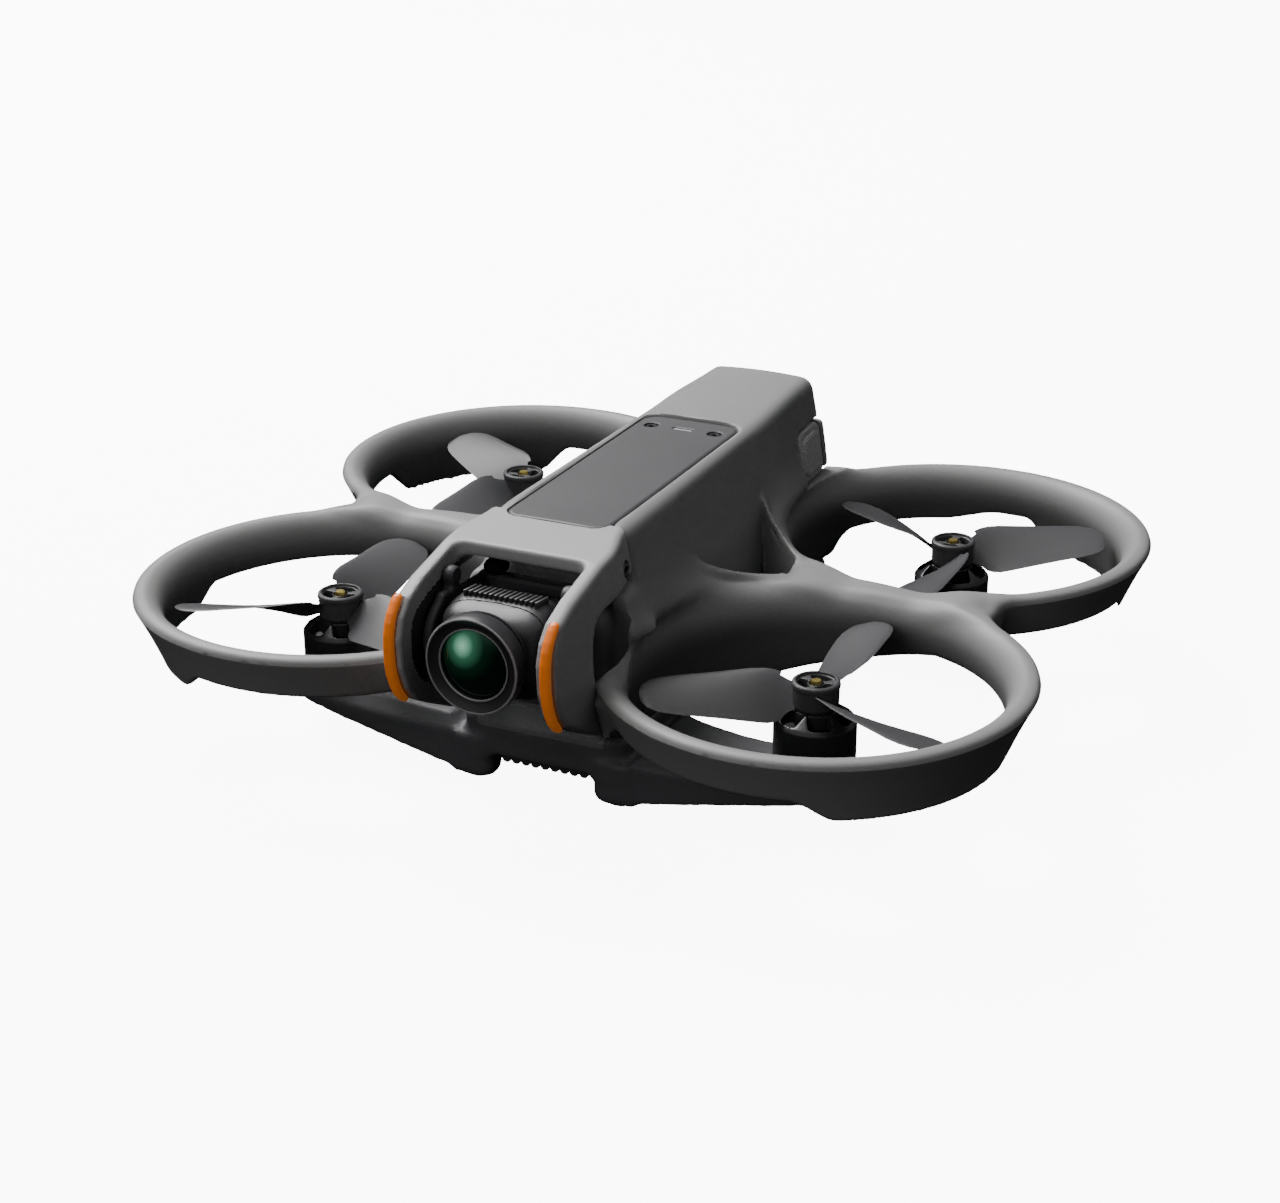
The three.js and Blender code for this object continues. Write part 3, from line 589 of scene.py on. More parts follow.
# ---- airframe shapes, as distances in mm
RING_INNER = 39.5
RING_TOP = 37.2
RING_EDGE_Z = 34.9
RING_FOOT_RADIUS = 41.1       # outer radius of a guard's wall at its lower edge
SKIRT_BOTTOM = {-1: 20.4, 1: 17.7}
SKIRT_HEADING = {-1: (-3, 69), 1: (8, 74)}     # degrees from straight outwards, towards its own end
WALL_BOTTOM = 25.7
HULL_FRONT = -49.4
HULL_REAR = 66.0
SIDE_FRONT = -55.2             # the hull's cheeks reach further forward than its top
CHEEK_TOP = 50.1
HULL_BOTTOM = 16.8
BAY_WIDEST = 17.5
MOUTH_ROUNDING = 8.5
HULL_TO_WEB_BLEND = 13
SADDLE_TRIM = 2.4             # takes back what the blend of two guards adds where they meet
LIP_TRIM = 0.64               # keeps the blended outer lips inside the drone's outline


def duct_radius(x, y, end):
    return np.hypot(np.abs(x) - ROTOR_X, y - end * ROTOR_Y)


def guard_shape(x, y, z, end):
    """A propeller guard: a bell-mouthed lip over a thin wall. The wall is deeper on the outer corner
    and where it comes in to the hull."""
    out, ahead = np.abs(x) - ROTOR_X, end * y - ROTOR_Y
    radius = np.hypot(out, ahead)
    heading = np.degrees(np.arctan2(ahead, out))
    start, stop = SKIRT_HEADING[end]
    deep = ramp(heading, start - 8, start + 6) * (1 - ramp(heading, stop - 7, stop + 7))
    bottom = WALL_BOTTOM + (SKIRT_BOTTOM[end] - WALL_BOTTOM) * deep
    inward = np.clip((-70 - heading) / 58, 0, 1)
    if end > 0:
        inward = np.maximum(inward, np.maximum(0.3 * ramp(heading, 90, 112), ramp(heading, 135, 172)))
    bottom = bottom + (HULL_BOTTOM - WALL_BOTTOM) * inward
    rise = np.clip((z - 19) / (RING_EDGE_Z - 19), 0, 1)
    outer = RING_FOOT_RADIUS + (RING_OUTER - RING_FOOT_RADIUS) * rise ** 1.35
    outside = (radius - outer) * 0.93
    top = (z - RING_TOP) + np.maximum(radius - 44.2, 0) * 0.34
    mouth = smax(RING_INNER - radius, top, MOUTH_ROUNDING)
    shape = smax(mouth, outside, 1.5)
    return smax(shape, bottom - z, 1.0)


def hull_widening(y):
    return 1 + 0.13 * (HULL_REAR - y) / (HULL_REAR - HULL_FRONT)


def hull_half_width(y, z):
    return (19.9 - 0.0022 * (z - 12) ** 2) * hull_widening(y)


def bay_half_width(z):
    return 15.9 - 0.0022 * (z - 20) ** 2


def hull_shape(x, y, z):
    side = (np.abs(x) - hull_half_width(y, z)) * 0.97
    crown = z - (62.75 + 1.1 * ramp(y, 26, 58) - 0.0035 * x * x)
    shape = smax(side, crown, 2.8)
    return smax(shape, slab(y, SIDE_FRONT, HULL_REAR), 1.5)


def web_shape(x, y, z):
    """The saddle between a front and a rear guard, and the floor of the flare beside the hull."""
    across = np.abs(x)
    plan = slab(across, 33.2, 84.6)
    plan = smax(plan, np.abs(y) - 6.5, 3)
    top = RING_TOP - 0.9 - 2.1 * ramp(across, 38, 52) * (1 - ramp(across, 66, 78))
    return smax(plan, slab(z, 27.5, top), 2.5)


RIBS = (                      # crest of each rib, from the hull to the web, as (x, y, z)
    ((17.5, 22.0, 44.6), (33.6, 6.6, 36.9)),
    ((17.5, -21.2, 43.6), (33.6, -4.4, 36.7)),
)


def rib_crest(x, y, z):
    """The thin ridges that run down from the hull to the web on each side."""
    across = np.abs(x)
    nearest = np.full(x.shape, 1e3, x.dtype)
    for (x0, y0, z0), (x1, y1, z1) in RIBS:
        dx, dy, dz = x1 - x0, y1 - y0, z1 - z0
        t = np.clip(((across - x0) * dx + (y - y0) * dy + (z - z0) * dz) / (dx * dx + dy * dy + dz * dz), 0, 1)
        sag = 1.6 * t * (1 - t)
        ridge = np.sqrt((across - x0 - t * dx) ** 2 + (y - y0 - t * dy) ** 2 + (z - z0 - t * dz + sag) ** 2)
        nearest = np.minimum(nearest, ridge - 0.75)
    return nearest


def rib_pocket(x, y, z):
    """The open triangle beside the hull, between the two ribs and the web."""
    across = np.abs(x)
    plan = hull_half_width(y, z) + 0.05 - across
    for (x0, y0, _), (x1, y1, _) in RIBS:
        length = math.hypot(x1 - x0, y1 - y0)
        away = np.sign(y0)
        nx, ny = away * (y0 - y1) / length, away * (x1 - x0) / length
        plan = smax(plan, (across - x0) * nx + (y - y0) * ny + 0.2, 0.8)
    plan = smax(plan, across - 33.6, 1.0)
    return np.maximum(plan, 14 - z)


def cavity_shape(x, y, z):
    """The battery bay and board space inside the hull."""
    half = np.minimum(bay_half_width(z) * hull_widening(y), BAY_WIDEST)
    shape = smax(np.abs(x) - half, z - 58.4, 3)
    return np.maximum(shape, HULL_FRONT + 1.8 - y)


def panel_plan(x, y, margin, radius):
    """Round-cornered outline of the top panel, grown by a margin."""
    centre = (0, (PANEL_LOW[1] + PANEL_HIGH[1]) / 2, 0)
    half = (PANEL_HIGH[0] + margin, (PANEL_HIGH[1] - PANEL_LOW[1]) / 2 + margin, 50)
    return rounded_box(x, y, 0 * x, half, centre, radius)


def panel_recess(x, y, z):
    return np.maximum(panel_plan(x, y, 0.35, 4.2), PANEL_LOW[2] - 0.3 - z)


BUCKLE_FACE = {"front": 49.4, "rear": 64.0, "bottom": 39.2, "top": 52.2}


def buckle_outline(y, z, margin):
    """Side outline of a release buckle, grown by a margin. With a margin it opens to the rear."""
    rear = BUCKLE_FACE["rear"] if margin == 0 else 80
    plan = smax(BUCKLE_FACE["front"] - y, y - rear, 2.4)
    plan = smax(plan, BUCKLE_FACE["bottom"] - z, 2.4)
    slope = (z - BUCKLE_FACE["top"]) * 0.97 - (y - 57) * 0.02
    return smax(plan, slope, 3.4) - margin


def buckle_slot(x, y, z):
    """The cut-out in the hull's rear side round a release buckle. It opens to the rear."""
    return np.maximum(buckle_outline(y, z, 0.6), 12 - np.abs(x))


def nose_wing(x, y, z):
    """Where a front guard runs into the flank of the bumper."""
    flank = outline_distance(
        y, z, [(-73, 31.5), (-66, 32.6), (-58, 35.2), (-50, 38.5), (-50, 22), (-62, 19), (-70, 23)])
    return smax(flank, slab(np.abs(x), 20.25, 21.9), 1.2)


def shell_shape(x, y, z):
    front = smin(guard_shape(x, y, z, -1), nose_wing(x, y, z), 5)
    rear = guard_shape(x, y, z, 1)
    front_duct = duct_radius(x, y, -1)
    rear_duct = duct_radius(x, y, 1)
    hull = hull_shape(x, y, z)
    for duct in (front_duct, rear_duct):
        hull = smax(hull, smin(RING_INNER - duct, 46 - z, 9), 3.5)
    across = np.abs(x)
    saddle = np.exp(-(y / 6.5) ** 2) * ramp(z, 30, 36) * ramp(across, 36, 50) * (1 - ramp(across, 64, 78))
    guards = smin(front, rear, 9) + SADDLE_TRIM * saddle
    web = smin(guards, web_shape(x, y, z), 5)
    shape = smin(hull, web, HULL_TO_WEB_BLEND)
    clear_bore = RING_INNER - np.minimum(front_duct, rear_duct)
    mouth = smin(clear_bore, 37.5 - z, 3)
    outward = np.maximum(ramp(across - ROTOR_X, -8, 14), ramp(np.abs(y) - ROTOR_Y, -8, 14))
    shape = smin(smax(shape, mouth, 4.5), smax(guards, clear_bore, 0.4), 2.5) + LIP_TRIM * outward
    shape = smin(shape, rib_crest(x, y, z), 2.6)
    shape = carve(shape, rib_pocket(x, y, z), 0.5)
    shape = np.maximum(shape, HULL_BOTTOM - z)
    tail_wall = np.maximum(smax(z - 29.0, 62.4 - y, 0.5), y - 64.6)
    shape = carve(shape, np.maximum(cavity_shape(x, y, z), -tail_wall))
    # room for the bumper between the cheeks, in front of them and above them
    shape = carve(shape, np.maximum(across - 15.7, y + 53.3))
    shape = carve(shape, np.maximum(across - 20.25, y - SIDE_FRONT))
    shape = carve(shape, smax(CHEEK_TOP - 1.2 - z, y - HULL_FRONT, 3), 2)
    shape = carve(shape, np.maximum(CHEEK_TOP - z, y - HULL_FRONT))
    # room for the battery's rear cap, the top panel and the buckles
    shape = carve(shape, np.maximum(across - 16.6, HULL_REAR - y), 0.5)
    shape = carve(shape, panel_recess(x, y, z), 0.7)
    return carve(shape, buckle_slot(x, y, z), 0.6)


# ---- upper shell
shell = solid_piece(
    "upper_shell_skin", shell_shape, (-HALF_SPAN_X, -HALF_SPAN_Y, HULL_BOTTOM), (HALF_SPAN_X, HALF_SPAN_Y, CROWN),
    0.7, HULL_GREY)
centre, normal = face_arrays(shell)
near = np.where(centre[:, 1] < 0, -1, 1)
out = centre[:, 0] - np.sign(centre[:, 0]) * ROTOR_X
ahead = centre[:, 1] - near * ROTOR_Y
radius = np.hypot(out, ahead)
facing = -(normal[:, 0] * out + normal[:, 1] * ahead) / np.maximum(radius, 1)
# Duct wall faces below the lip take the painted duct shade.
inner = (radius < 48) & (facing > 0.15) & (centre[:, 2] < 36.4) & (np.abs(centre[:, 0]) > 17)
second_finish(shell, duct_painted_shade(), inner)
place(shell, "airframe", "shell_grey", "upper_shell")


# ---- front bumper
ARM_OUTER = [
    (-49.6, 62.3), (-66, 60.3), (-80, 57), (-86.4, 54.4), (-89.6, 51), (-91, 46.5), (-90.6, 40), (-88.4, 34.6),
    (-85.4, 31.0), (-80, 27.8), (-70, 22.6), (-62, 19.6), (-52, 30), (-52, 40), (-49.6, 50),
]
ARM_OPENING = smooth_closed([
    (-56.0, 32.2), (-69.0, 32.6), (-71.8, 36), (-72.2, 44.6), (-70.4, 49.4), (-64, 50.2), (-56, 50.6), (-50, 51.6),
    (-44, 52), (-44, 32.2),
])
STRIP_OUTLINE = smooth_closed([
    (-86.2, 55.3), (-88.0, 54.9), (-91.2, 51.2), (-92.5, 46.5), (-92.2, 39.4), (-89.9, 33.6), (-86.7, 30.2),
    (-85.3, 30.9), (-88.2, 34.5), (-90.1, 39.9), (-90.4, 46.4), (-89.4, 50.6), (-86.6, 53.8),
], 1)


def bumper_shape(x, y, z):
    across = np.abs(x)
    half = 19.9 - 0.0018 * np.maximum(z - 38, 0) ** 2
    seam = 1 - ramp(-y, 49.4, 62)
    half = half + (np.minimum(hull_half_width(HULL_FRONT, z) + 0.1, 19.9) - half) * seam
    side = outline_distance(y, z, ARM_OUTER)
    shape = smax(side, across - half, 1.8)
    inner = smax(across - 15.6, smin(y + 66, z - 56.9, 1.5), 3.2)
    shape = carve(shape, inner, 0.9)
    slant = 0.9 * np.clip(19.5 - across, 0, 4.2) * ramp(z, 40, 48)
    opening = outline_distance(y, z - slant, ARM_OPENING)
    shape = carve(shape, np.maximum(opening, 10 - across), 1.4)
    shape = np.maximum(shape, y + 49.6)
    shape = np.maximum(shape, np.minimum(y + 55.5, 50.3 - z))
    shape = carve(shape, panel_recess(x, y, z))
    screw_pit = np.hypot(y + 53.5, z - 54.5) - 1.9
    shape = carve(shape, np.maximum(screw_pit, 16.8 - across), 0.5)
    low_pit = np.hypot(y + 66.4, z - 27.4) - 1.5
    shape = carve(shape, np.maximum(low_pit, 18.6 - across), 0.4)
    strip_seat = np.maximum(outline_distance(y, z, STRIP_OUTLINE) - 0.2, slab(across, 16.8, 19.6))
    return carve(shape, strip_seat)


def strip_shape(x, y, z):
    across = np.abs(np.abs(x) - 18.2) - 1.25
    return smax(outline_distance(y, z, STRIP_OUTLINE), across, 1.3)


bumper = solid_piece(
    "front_bumper_skin", bumper_shape, (-20, -92.5, 19), (20, -49, 63.5), 0.5, BUMPER_GREY)
centre, normal = face_arrays(bumper)
within = outline_distance(centre[:, 1], centre[:, 2], ARM_OUTER)
inward = -normal[:, 0] * np.sign(centre[:, 0])
# Faces turned inward inside the arms and faces under the top plate get black frame plastic: painted shade where the
# opening is in shadow.
painted_shade_faces = (inward > 0.6) & (np.abs(centre[:, 0]) < 16.4) & (within < -4.2) & (centre[:, 2] < 55.5)
painted_shade_faces |= (normal[:, 2] < -0.5) & (centre[:, 2] > 54) & (within < -3.5)
second_finish(bumper, FRAME_BLACK, painted_shade_faces)
place(bumper, "airframe", "bumper_grey", "front_bumper")
strip = solid_piece("bumper_strip_body_right", strip_shape, (16.8, -92.6, 30), (19.6, -85, 55.5), 0.22, ORANGE_WITH_PAINTED_GLOW, 40)
place(mirrored(strip, "bumper_strip_body_left"), "airframe", "trim_orange", "bumper_strip_left")
place(strip, "airframe", "trim_orange", "bumper_strip_right")


# ---- lower frame
FRAME_TOP = 16.3
FOOT_Y = (-56.6, 54.4)
VISION_EYE_AT = (11, 61, 9.6)
ARM_PLAN = smooth_closed([
    (20.6, 30), (23, 31), (30, 34.5), (44, 37.5), (52, 36.0), (58.9, 34.4), (66.5, 37.2), (69.9, 45.4), (66.5, 53.2),
    (58.9, 56.4), (46, 57.6), (26, 59.5), (20.6, 59),
], 1)


def frame_shape(x, y, z):
    across = np.abs(x)
    length = np.abs(y - 2.1) - 61.9
    tray = smax(smax(across - 20.5, length, 6), z - FRAME_TOP, 1.5)
    tray = smax(tray, 7.2 - z, 1.5)
    low_edge = (across - 20.5 + 7.2 - z) * 0.7071 + 2.0
    tray = smax(tray, low_edge, 1)
    plan = outline_distance(across, np.abs(y), ARM_PLAN)
    under = 1.9 + np.clip((across - 22) / 37, 0, 1) * 6.0
    arm = smax(plan, z - 13.9, 0.6)
    arm = smax(arm, (plan + z - 13.9) * 0.7071 + 2.1, 0.6)
    arm = smax(arm, under - z, 1.2)
    shape = smin(tray, arm, 2)
    for foot_y in FOOT_Y:
        lobe = smax(smax(np.abs(across - 17.4) - 5.0, np.abs(y - foot_y) - 3.9, 3.5), z - 11, 1)
        lobe = smax(lobe, 0.6 - z, 3.0)
        shape = smin(shape, lobe, 2.2)
    chin = smax(smax(across - 14, z - 19.7 - np.minimum(y + 57.5, 0) * 2.2, 0.8), slab(y, -60, -53), 0.8)
    chin = smax(chin, 8.2 - z, 1)
    shape = smin(shape, chin, 1)
    inside = smax(smax(across - 18.4, slab(y, -52.5, 61), 3), 9 - z, 1)
    shape = carve(shape, inside)
    shape = carve(shape, np.maximum(np.maximum(across - 12.1, slab(y, -58.3, 30.3)), z - 7.2))
    for side in (-1, 1):
        dx, dy, dz = x - side * VISION_EYE_AT[0], y - VISION_EYE_AT[1], z - VISION_EYE_AT[2]
        along, over = (dy - dz) * math.sqrt(0.5), (dy + dz) * math.sqrt(0.5)
        shape = carve(shape, np.maximum(np.sqrt(dx ** 2 + over ** 2) - 3.8, -2.4 - along), 0.4)
    for foot_y in FOOT_Y:
        seat = smax(smax(np.abs(across - 17.7) - 3.2, np.abs(y - foot_y) - 2.2, 2.0), z - 1.7, 0.3)
        shape = carve(shape, seat)
    return carve(shape, smax(smax(across - 4.5, slab(y, 35.5, 42.5), 1), z - 10, 0.5))


lower = solid_piece("lower_frame_body", frame_shape, (-71, -60.5, 1.5), (71, 64.5, 20), 0.8, FRAME_PAINTED_LIGHT)
centre, normal = face_arrays(lower)
# The chin's upper faces get a lighter grey: painted light where light falls on its top.
chin = (np.abs(centre[:, 0]) < 15.5) & (centre[:, 1] < -56) & (centre[:, 2] > 14.2) & (normal[:, 1] < 0.2)
second_finish(lower, CHIN_PAINTED_LIGHT, chin)
place(lower, "airframe", "frame_black", "lower_frame")


def foot_shape(x, y, z):
    side = smax(np.abs(x) - 2.9, np.abs(y) - 1.9, 1.8)
    bulge = 0.05 * (x * x + y * y)
    return smax(smax(side, z - 1.6, 0.3), bulge - z, 0.8)


foot = solid_piece("foot_body", foot_shape, (-3.0, -2.0, 0), (3.0, 2.0, 1.7), 0.2, RUBBER)
for corner in CORNERS:
    foot_x, foot_y, _ = middle("foot_" + corner)
    copy = moved_copy(foot, "foot_body_" + corner, (foot_x, foot_y, 0))
    place(copy, "airframe", "rubber_black", "foot_" + corner)
bpy.data.objects.remove(foot)


# ---- motors
def off_spoke(x, y, count):
    """Distance round the axis from the middle of the nearest of count equal sectors."""
    return np.abs((np.arctan2(y, x) * count / (2 * np.pi)) % 1 - 0.5) * 2 * np.pi / count * np.hypot(x, y)


def bell_shape(x, y, z):
    radius = np.hypot(x, y)
    profile = [(0, 16.2), (9, 16.2), (9, 23.9), (8.4, 24.7), (5.6, 26.9), (0, 26.9)]
    shape = outline_distance(radius, z, profile)
    well = outline_distance(radius, z, [(0, 15), (7.8, 15), (7.8, 22.6), (6.4, 23.4), (0, 23.4)])
    shape = carve(shape, well, 0.3)
    window = smax(smax(off_spoke(x, y, 6) - 2.6, slab(radius, 4.9, 8.1), 0.9), 22.9 - z, 1.0)
    return carve(shape, window, 0.4)


def hub_shape(x, y, z):
    radius = np.hypot(x, y)
    profile = [(0, 27.2), (4.7, 27.2), (5.0, 27.8), (5.1, 31.5), (5.3, 32.3), (5.2, 32.9), (4.8, 33.2), (0, 33.2)]
    shape = outline_distance(radius, z, profile)
    shape = carve(shape, smax(radius - 4.35, 32.6 - z, 0.3), 0.2)
    beside = off_spoke(x, y, 3) - 0.36 * 2 * np.pi / 3 * radius
    kidney = smax(smax(beside, slab(radius, 1.9, 4.0), 0.6), 30.6 - z, 0.2)
    shape = carve(shape, kidney, 0.25)
    return np.maximum(shape, 1.7 - radius)


BLADE_STATIONS = [
    # radius, chord, pitch, offset of the chord's middle towards the trailing edge, height, and the angle the
    # camber turns through. Angles are in degrees.
    (3.6, 5.6, 40, -0.8, 29.5, 30), (4.8, 6.4, 40, -1.0, 29.4, 36), (6.0, 7.8, 40, -1.2, 29.4, 44),
    (7.2, 9.6, 39.5, -1.2, 29.4, 50), (8.6, 11.4, 38, -1.1, 29.4, 50), (10.2, 12.9, 36, -0.9, 29.5, 47),
    (12.2, 14.0, 33, -0.6, 29.7, 42), (15, 14.4, 28.5, -0.3, 30.0, 35),
    (19, 14.1, 24, 0.1, 30.3, 29), (23, 13.7, 20.5, 0.5, 30.6, 25), (27, 13.4, 17.5, 0.8, 30.9, 22),
    (30.5, 13.1, 15, 1.0, 31.1, 20), (33.5, 12.2, 13.5, 1.2, 31.3, 18), (35.4, 10.7, 13, 1.4, 31.4, 16),
    (36.7, 8.4, 12, 1.6, 31.5, 14), (37.4, 6.0, 12, 1.7, 31.5, 12), (37.75, 3.2, 12, 1.8, 31.5, 10),
]
POINTS_PER_SIDE = 14


def blade_section(chord, pitch, offset, height, turning, thick):
    """One cambered section of a blade, as (towards the leading edge, height) points, trailing edge last."""
    half_turn = math.radians(turning) / 2
    arc = chord / (2 * math.sin(half_turn))
    tilt = math.radians(pitch)
    section = []
    for i in range(2 * POINTS_PER_SIDE):
        upper = i < POINTS_PER_SIDE
        t = i / (POINTS_PER_SIDE - 1) if upper else 1 - (i - POINTS_PER_SIDE + 1) / (POINTS_PER_SIDE + 1)
        t = 0.5 - 0.5 * math.cos(math.pi * t)
        phi = (t - 0.5) * 2 * half_turn
        u = arc * math.sin(phi)
        camber = arc * (math.cos(phi) - math.cos(half_turn)) * 0.9
        body = 0.62 * math.sqrt(max(t, 0)) * (1 - t) * 2.2 + 0.16 * (1 - t) + 0.12
        edges = min(1, 4 * (1 - t) + 0.35) * (0.15 + 0.85 * min(1, t * 18))
        v = camber + thick * body * (0.62 if upper else -0.38) * edges
        section.append((v * math.sin(tilt) - (u + offset) * math.cos(tilt),
                        height + v * math.cos(tilt) - u * math.sin(tilt)))
    return section


def blade_mesh(points, faces, heading, spin):
    """Adds one twisted blade. spin is +1 for anticlockwise from above."""
    turn = math.radians(heading)
    start, count = len(points), 2 * POINTS_PER_SIDE
    for radius, *shape in BLADE_STATIONS:
        for ahead, z in blade_section(*shape, 1.35 - 0.75 * min(radius / 30, 1)):
            s = ahead * spin
            reach = math.sqrt(max(radius * radius - s * s, 0)) if radius > 8 else radius
            points.append((reach * math.cos(turn) - s * math.sin(turn),
                           reach * math.sin(turn) + s * math.cos(turn), z))
    rings = [[start + k * count + i for i in range(count)] for k in range(len(BLADE_STATIONS))]
    added = [[a[i], a[(i + 1) % count], b[(i + 1) % count], b[i]]
             for a, b in zip(rings, rings[1:]) for i in range(count)]
    added += [rings[-1], rings[0][::-1]]
    faces += [face if spin < 0 else face[::-1] for face in added]


bell = solid_piece("bell_body", bell_shape, (-9.1, -9.1, 16), (9.1, 9.1, 27), 0.3, MOTOR_BLACK, 30)
hub = solid_piece("hub_body", hub_shape, (-5.4, -5.4, 27.1), (5.4, 5.4, 33.3), 0.2, PROP_GREY, 35)
BLADE_HEADING = {"front_left": 96, "front_right": 89, "rear_left": 23, "rear_right": 34}
for corner, (side, end) in CORNERS.items():
    rotor, heading = "rotor_" + corner, BLADE_HEADING[corner]
    centre = (side * ROTOR_X, end * ROTOR_Y, 0)
    can = moved_copy(bell, "motor_can", centre, heading)
    shaft = lathe("motor_shaft", [(0, 15.2), (1.2, 15.2), (1.2, 32.9), (1.0, 33.2), (0, 33.2)],
                  BRASS, centre, steps=24)
    place(merge("motor_bell_" + corner, [can, shaft]), rotor, "motor_black", "rotor_bell_" + corner)
    base = lathe("motor_foot", [
        (1.8, 14.3), (8.8, 14.3), (9.0, 14.6), (9.0, 15.3), (8.7, 15.7), (1.8, 15.7),
    ], MOTOR_BLACK, centre, steps=48, closed=True)
    coil = lathe("motor_coil", [(1.8, 14.6), (7.2, 14.6), (7.2, 21.4), (6.2, 22.2), (1.8, 22.2)],
                 MOTOR_BLACK, centre, steps=36, closed=True)
    place(merge("motor_stator_" + corner, [base, coil]), "airframe", "motor_black", "motor_base_" + corner)
    points, faces = [], []
    for i in range(3):
        blade_mesh(points, faces, heading + 120 * i, side * end)
    blades = object_from_arrays("blades", np.array(points) + np.array(centre), faces, PROP_GREY, 60)
    top = moved_copy(hub, "hub", centre, heading + 60)
    place(merge("propeller_" + corner + "_body", [blades, top]), rotor, "propeller_grey", "propeller_" + corner)
bpy.data.objects.remove(bell)
bpy.data.objects.remove(hub)


# ---- camera
GLASS_Y = -89.2
HOUSING_NOSE = -82.9
HOUSING_LOW, HOUSING_HIGH = node_box("camera_housing")
LENS_AT = (0, 0, PIVOT_Z)


def housing_shape(x, y, z):
    """The camera body: square with big round corners, its top falling away towards the lens."""
    half = HOUSING_HIGH[0] - 0.05 - 0.0075 * np.maximum(-72.5 - y, 0) ** 2
    up = z - PIVOT_Z
    top = smax(z - 53.3, (z - 52.6) * 0.9 + (y + 71.0) * 0.43, 1.0)
    brow = (z - 53.2) * 0.915 - (y + 77.6) * 0.403
    chin = -up - 11.2 - (y + 74) * 0.1
    shape = smax(smax(np.abs(x) - half, top, 6.5), HOUSING_NOSE - y, 4.2)
    shape = smax(shape, brow, 3.0)
    shape = smax(shape, chin, 6)
    shape = smax(shape, y - HOUSING_HIGH[1], 2)
    seam = np.maximum(np.abs(y + 77.2 + 0.012 * x * x) - 0.16, 40 - z)
    shape = carve(shape, np.maximum(seam, -0.5 - shape))
    bore = np.maximum(np.hypot(x, up) - 6.9, y + 66)
    board = smax(np.abs(x) - 8.5, np.maximum(np.abs(up) - 7.5, slab(y, -72.6, -70)), 0.4)
    shaft = np.maximum(np.hypot(y - PIVOT_Y, up) - 1.9, 11.2 - np.abs(x))
    return carve(shape, np.minimum(np.minimum(bore, board), shaft))


housing = solid_piece(
    "camera_body", housing_shape, (HOUSING_LOW[0], HOUSING_NOSE, 30.5), (HOUSING_HIGH[0], HOUSING_HIGH[1], 55.2),
    0.3, CAMERA_BLACK)
place(housing, "camera", "frame_black", "camera_housing")

fins = []
for i in range(15):
    x = (i - 7) * 1.2
    outline = [(x - 0.33, -76.3), (x + 0.33, -76.3), (x + 1.0, -72.2), (x + 0.34, -72.2)]
    fins.append(slab_piece("fin", outline, 52.4, 53.75, CAMERA_BLACK, 0.16, 2))
place(merge("camera_fins", fins), "camera", "frame_black", "fin_cover")

place(lathe("lens_barrel_body", [
    (6.9, 83.0), (9.9, 83.0), (10.1, 83.2), (10.1, 83.6), (9.7, 83.75), (9.7, 84.0), (10.0, 84.15), (10.0, 84.25),
    (6.9, 84.25),
], LENS_BODY, LENS_AT, "-Y", 96, closed=True), "camera", "frame_black", "lens_barrel")
bezel = lathe("lens_bezel_body", [
    (7.2, 84.3), (9.7, 84.3), (10.5, 85.0), (10.8, 85.7), (10.8, 88.9), (10.7, 89.3), (10.45, 89.5), (10.2, 89.42),
    (10.0, 89.1), (8.9, 88.35), (8.3, 88.15), (8.1, 88.45), (7.85, 88.5), (7.7, 88.3), (7.65, 87.5), (7.2, 87.2),
], LENS_BODY, LENS_AT, "-Y", 128, closed=True)
centre, normal = face_arrays(bezel)
radius = np.hypot(centre[:, 0], centre[:, 2] - PIVOT_Z)
bright_rim = (radius > 10.28) & (centre[:, 1] < -89.34) | (radius < 8.05) & (centre[:, 1] < -88.36)
second_finish(bezel, RIM_GREY, bright_rim)
place(bezel, "camera", "frame_black", "lens_bezel")

dome = [(0, 84.6), (6.9, 84.6), (6.9, 87.3), (7.55, 87.6)]
CROWN_AT, RIM_RADIUS, SAG = 89.75, 7.55, 2.05
BALL = (RIM_RADIUS ** 2 + SAG ** 2) / (2 * SAG)
DOME_STEPS = 12
for i in range(DOME_STEPS + 1):
    r = RIM_RADIUS * (1 - i / DOME_STEPS)
    dome.append((r, CROWN_AT - BALL + math.sqrt(BALL * BALL - r * r)))
# The glass's painted highlight sits above and left of the lens middle.
lens = lathe("front_glass", dome, glass_painted_highlight((-2.2, GLASS_Y, PIVOT_Z + 4.3)), LENS_AT, "-Y", 96, sharp=50)
place(lens, "camera", "lens_glass", "front_lens")


# ---- top panel
SCREW_AT = middle("panel_screw_right")
LIGHT_LOW, LIGHT_HIGH = node_box("status_light")


def panel_shape(x, y, z):
    shape = smax(panel_plan(x, y, 0, 3.9), z - PANEL_HIGH[2] + 0.0012 * x * x, 0.9)
    shape = np.maximum(shape, PANEL_LOW[2] - z)
    shape = carve(shape, np.hypot(np.abs(x) - SCREW_AT[0], y - SCREW_AT[1]) - 1.75, 0.35)
    return carve(shape, smax(np.abs(x) - 2.6, np.abs(y - SCREW_AT[1]) - 0.75, 0.8), 0.2)


panel = solid_piece("top_panel_body", panel_shape, PANEL_LOW, PANEL_HIGH, 0.3, PANEL_GREY, 30)
place(panel, "airframe", "panel_grey", "top_panel")
light_bar = slab_piece(
    "status_window", rounded_outline((LIGHT_LOW[0], LIGHT_HIGH[0]), (LIGHT_LOW[1], LIGHT_HIGH[1]), 0.45),
    LIGHT_LOW[2], LIGHT_HIGH[2] - 0.15, LIGHT_WINDOW, 0.12)
place(light_bar, "airframe", "window_black", "status_light")


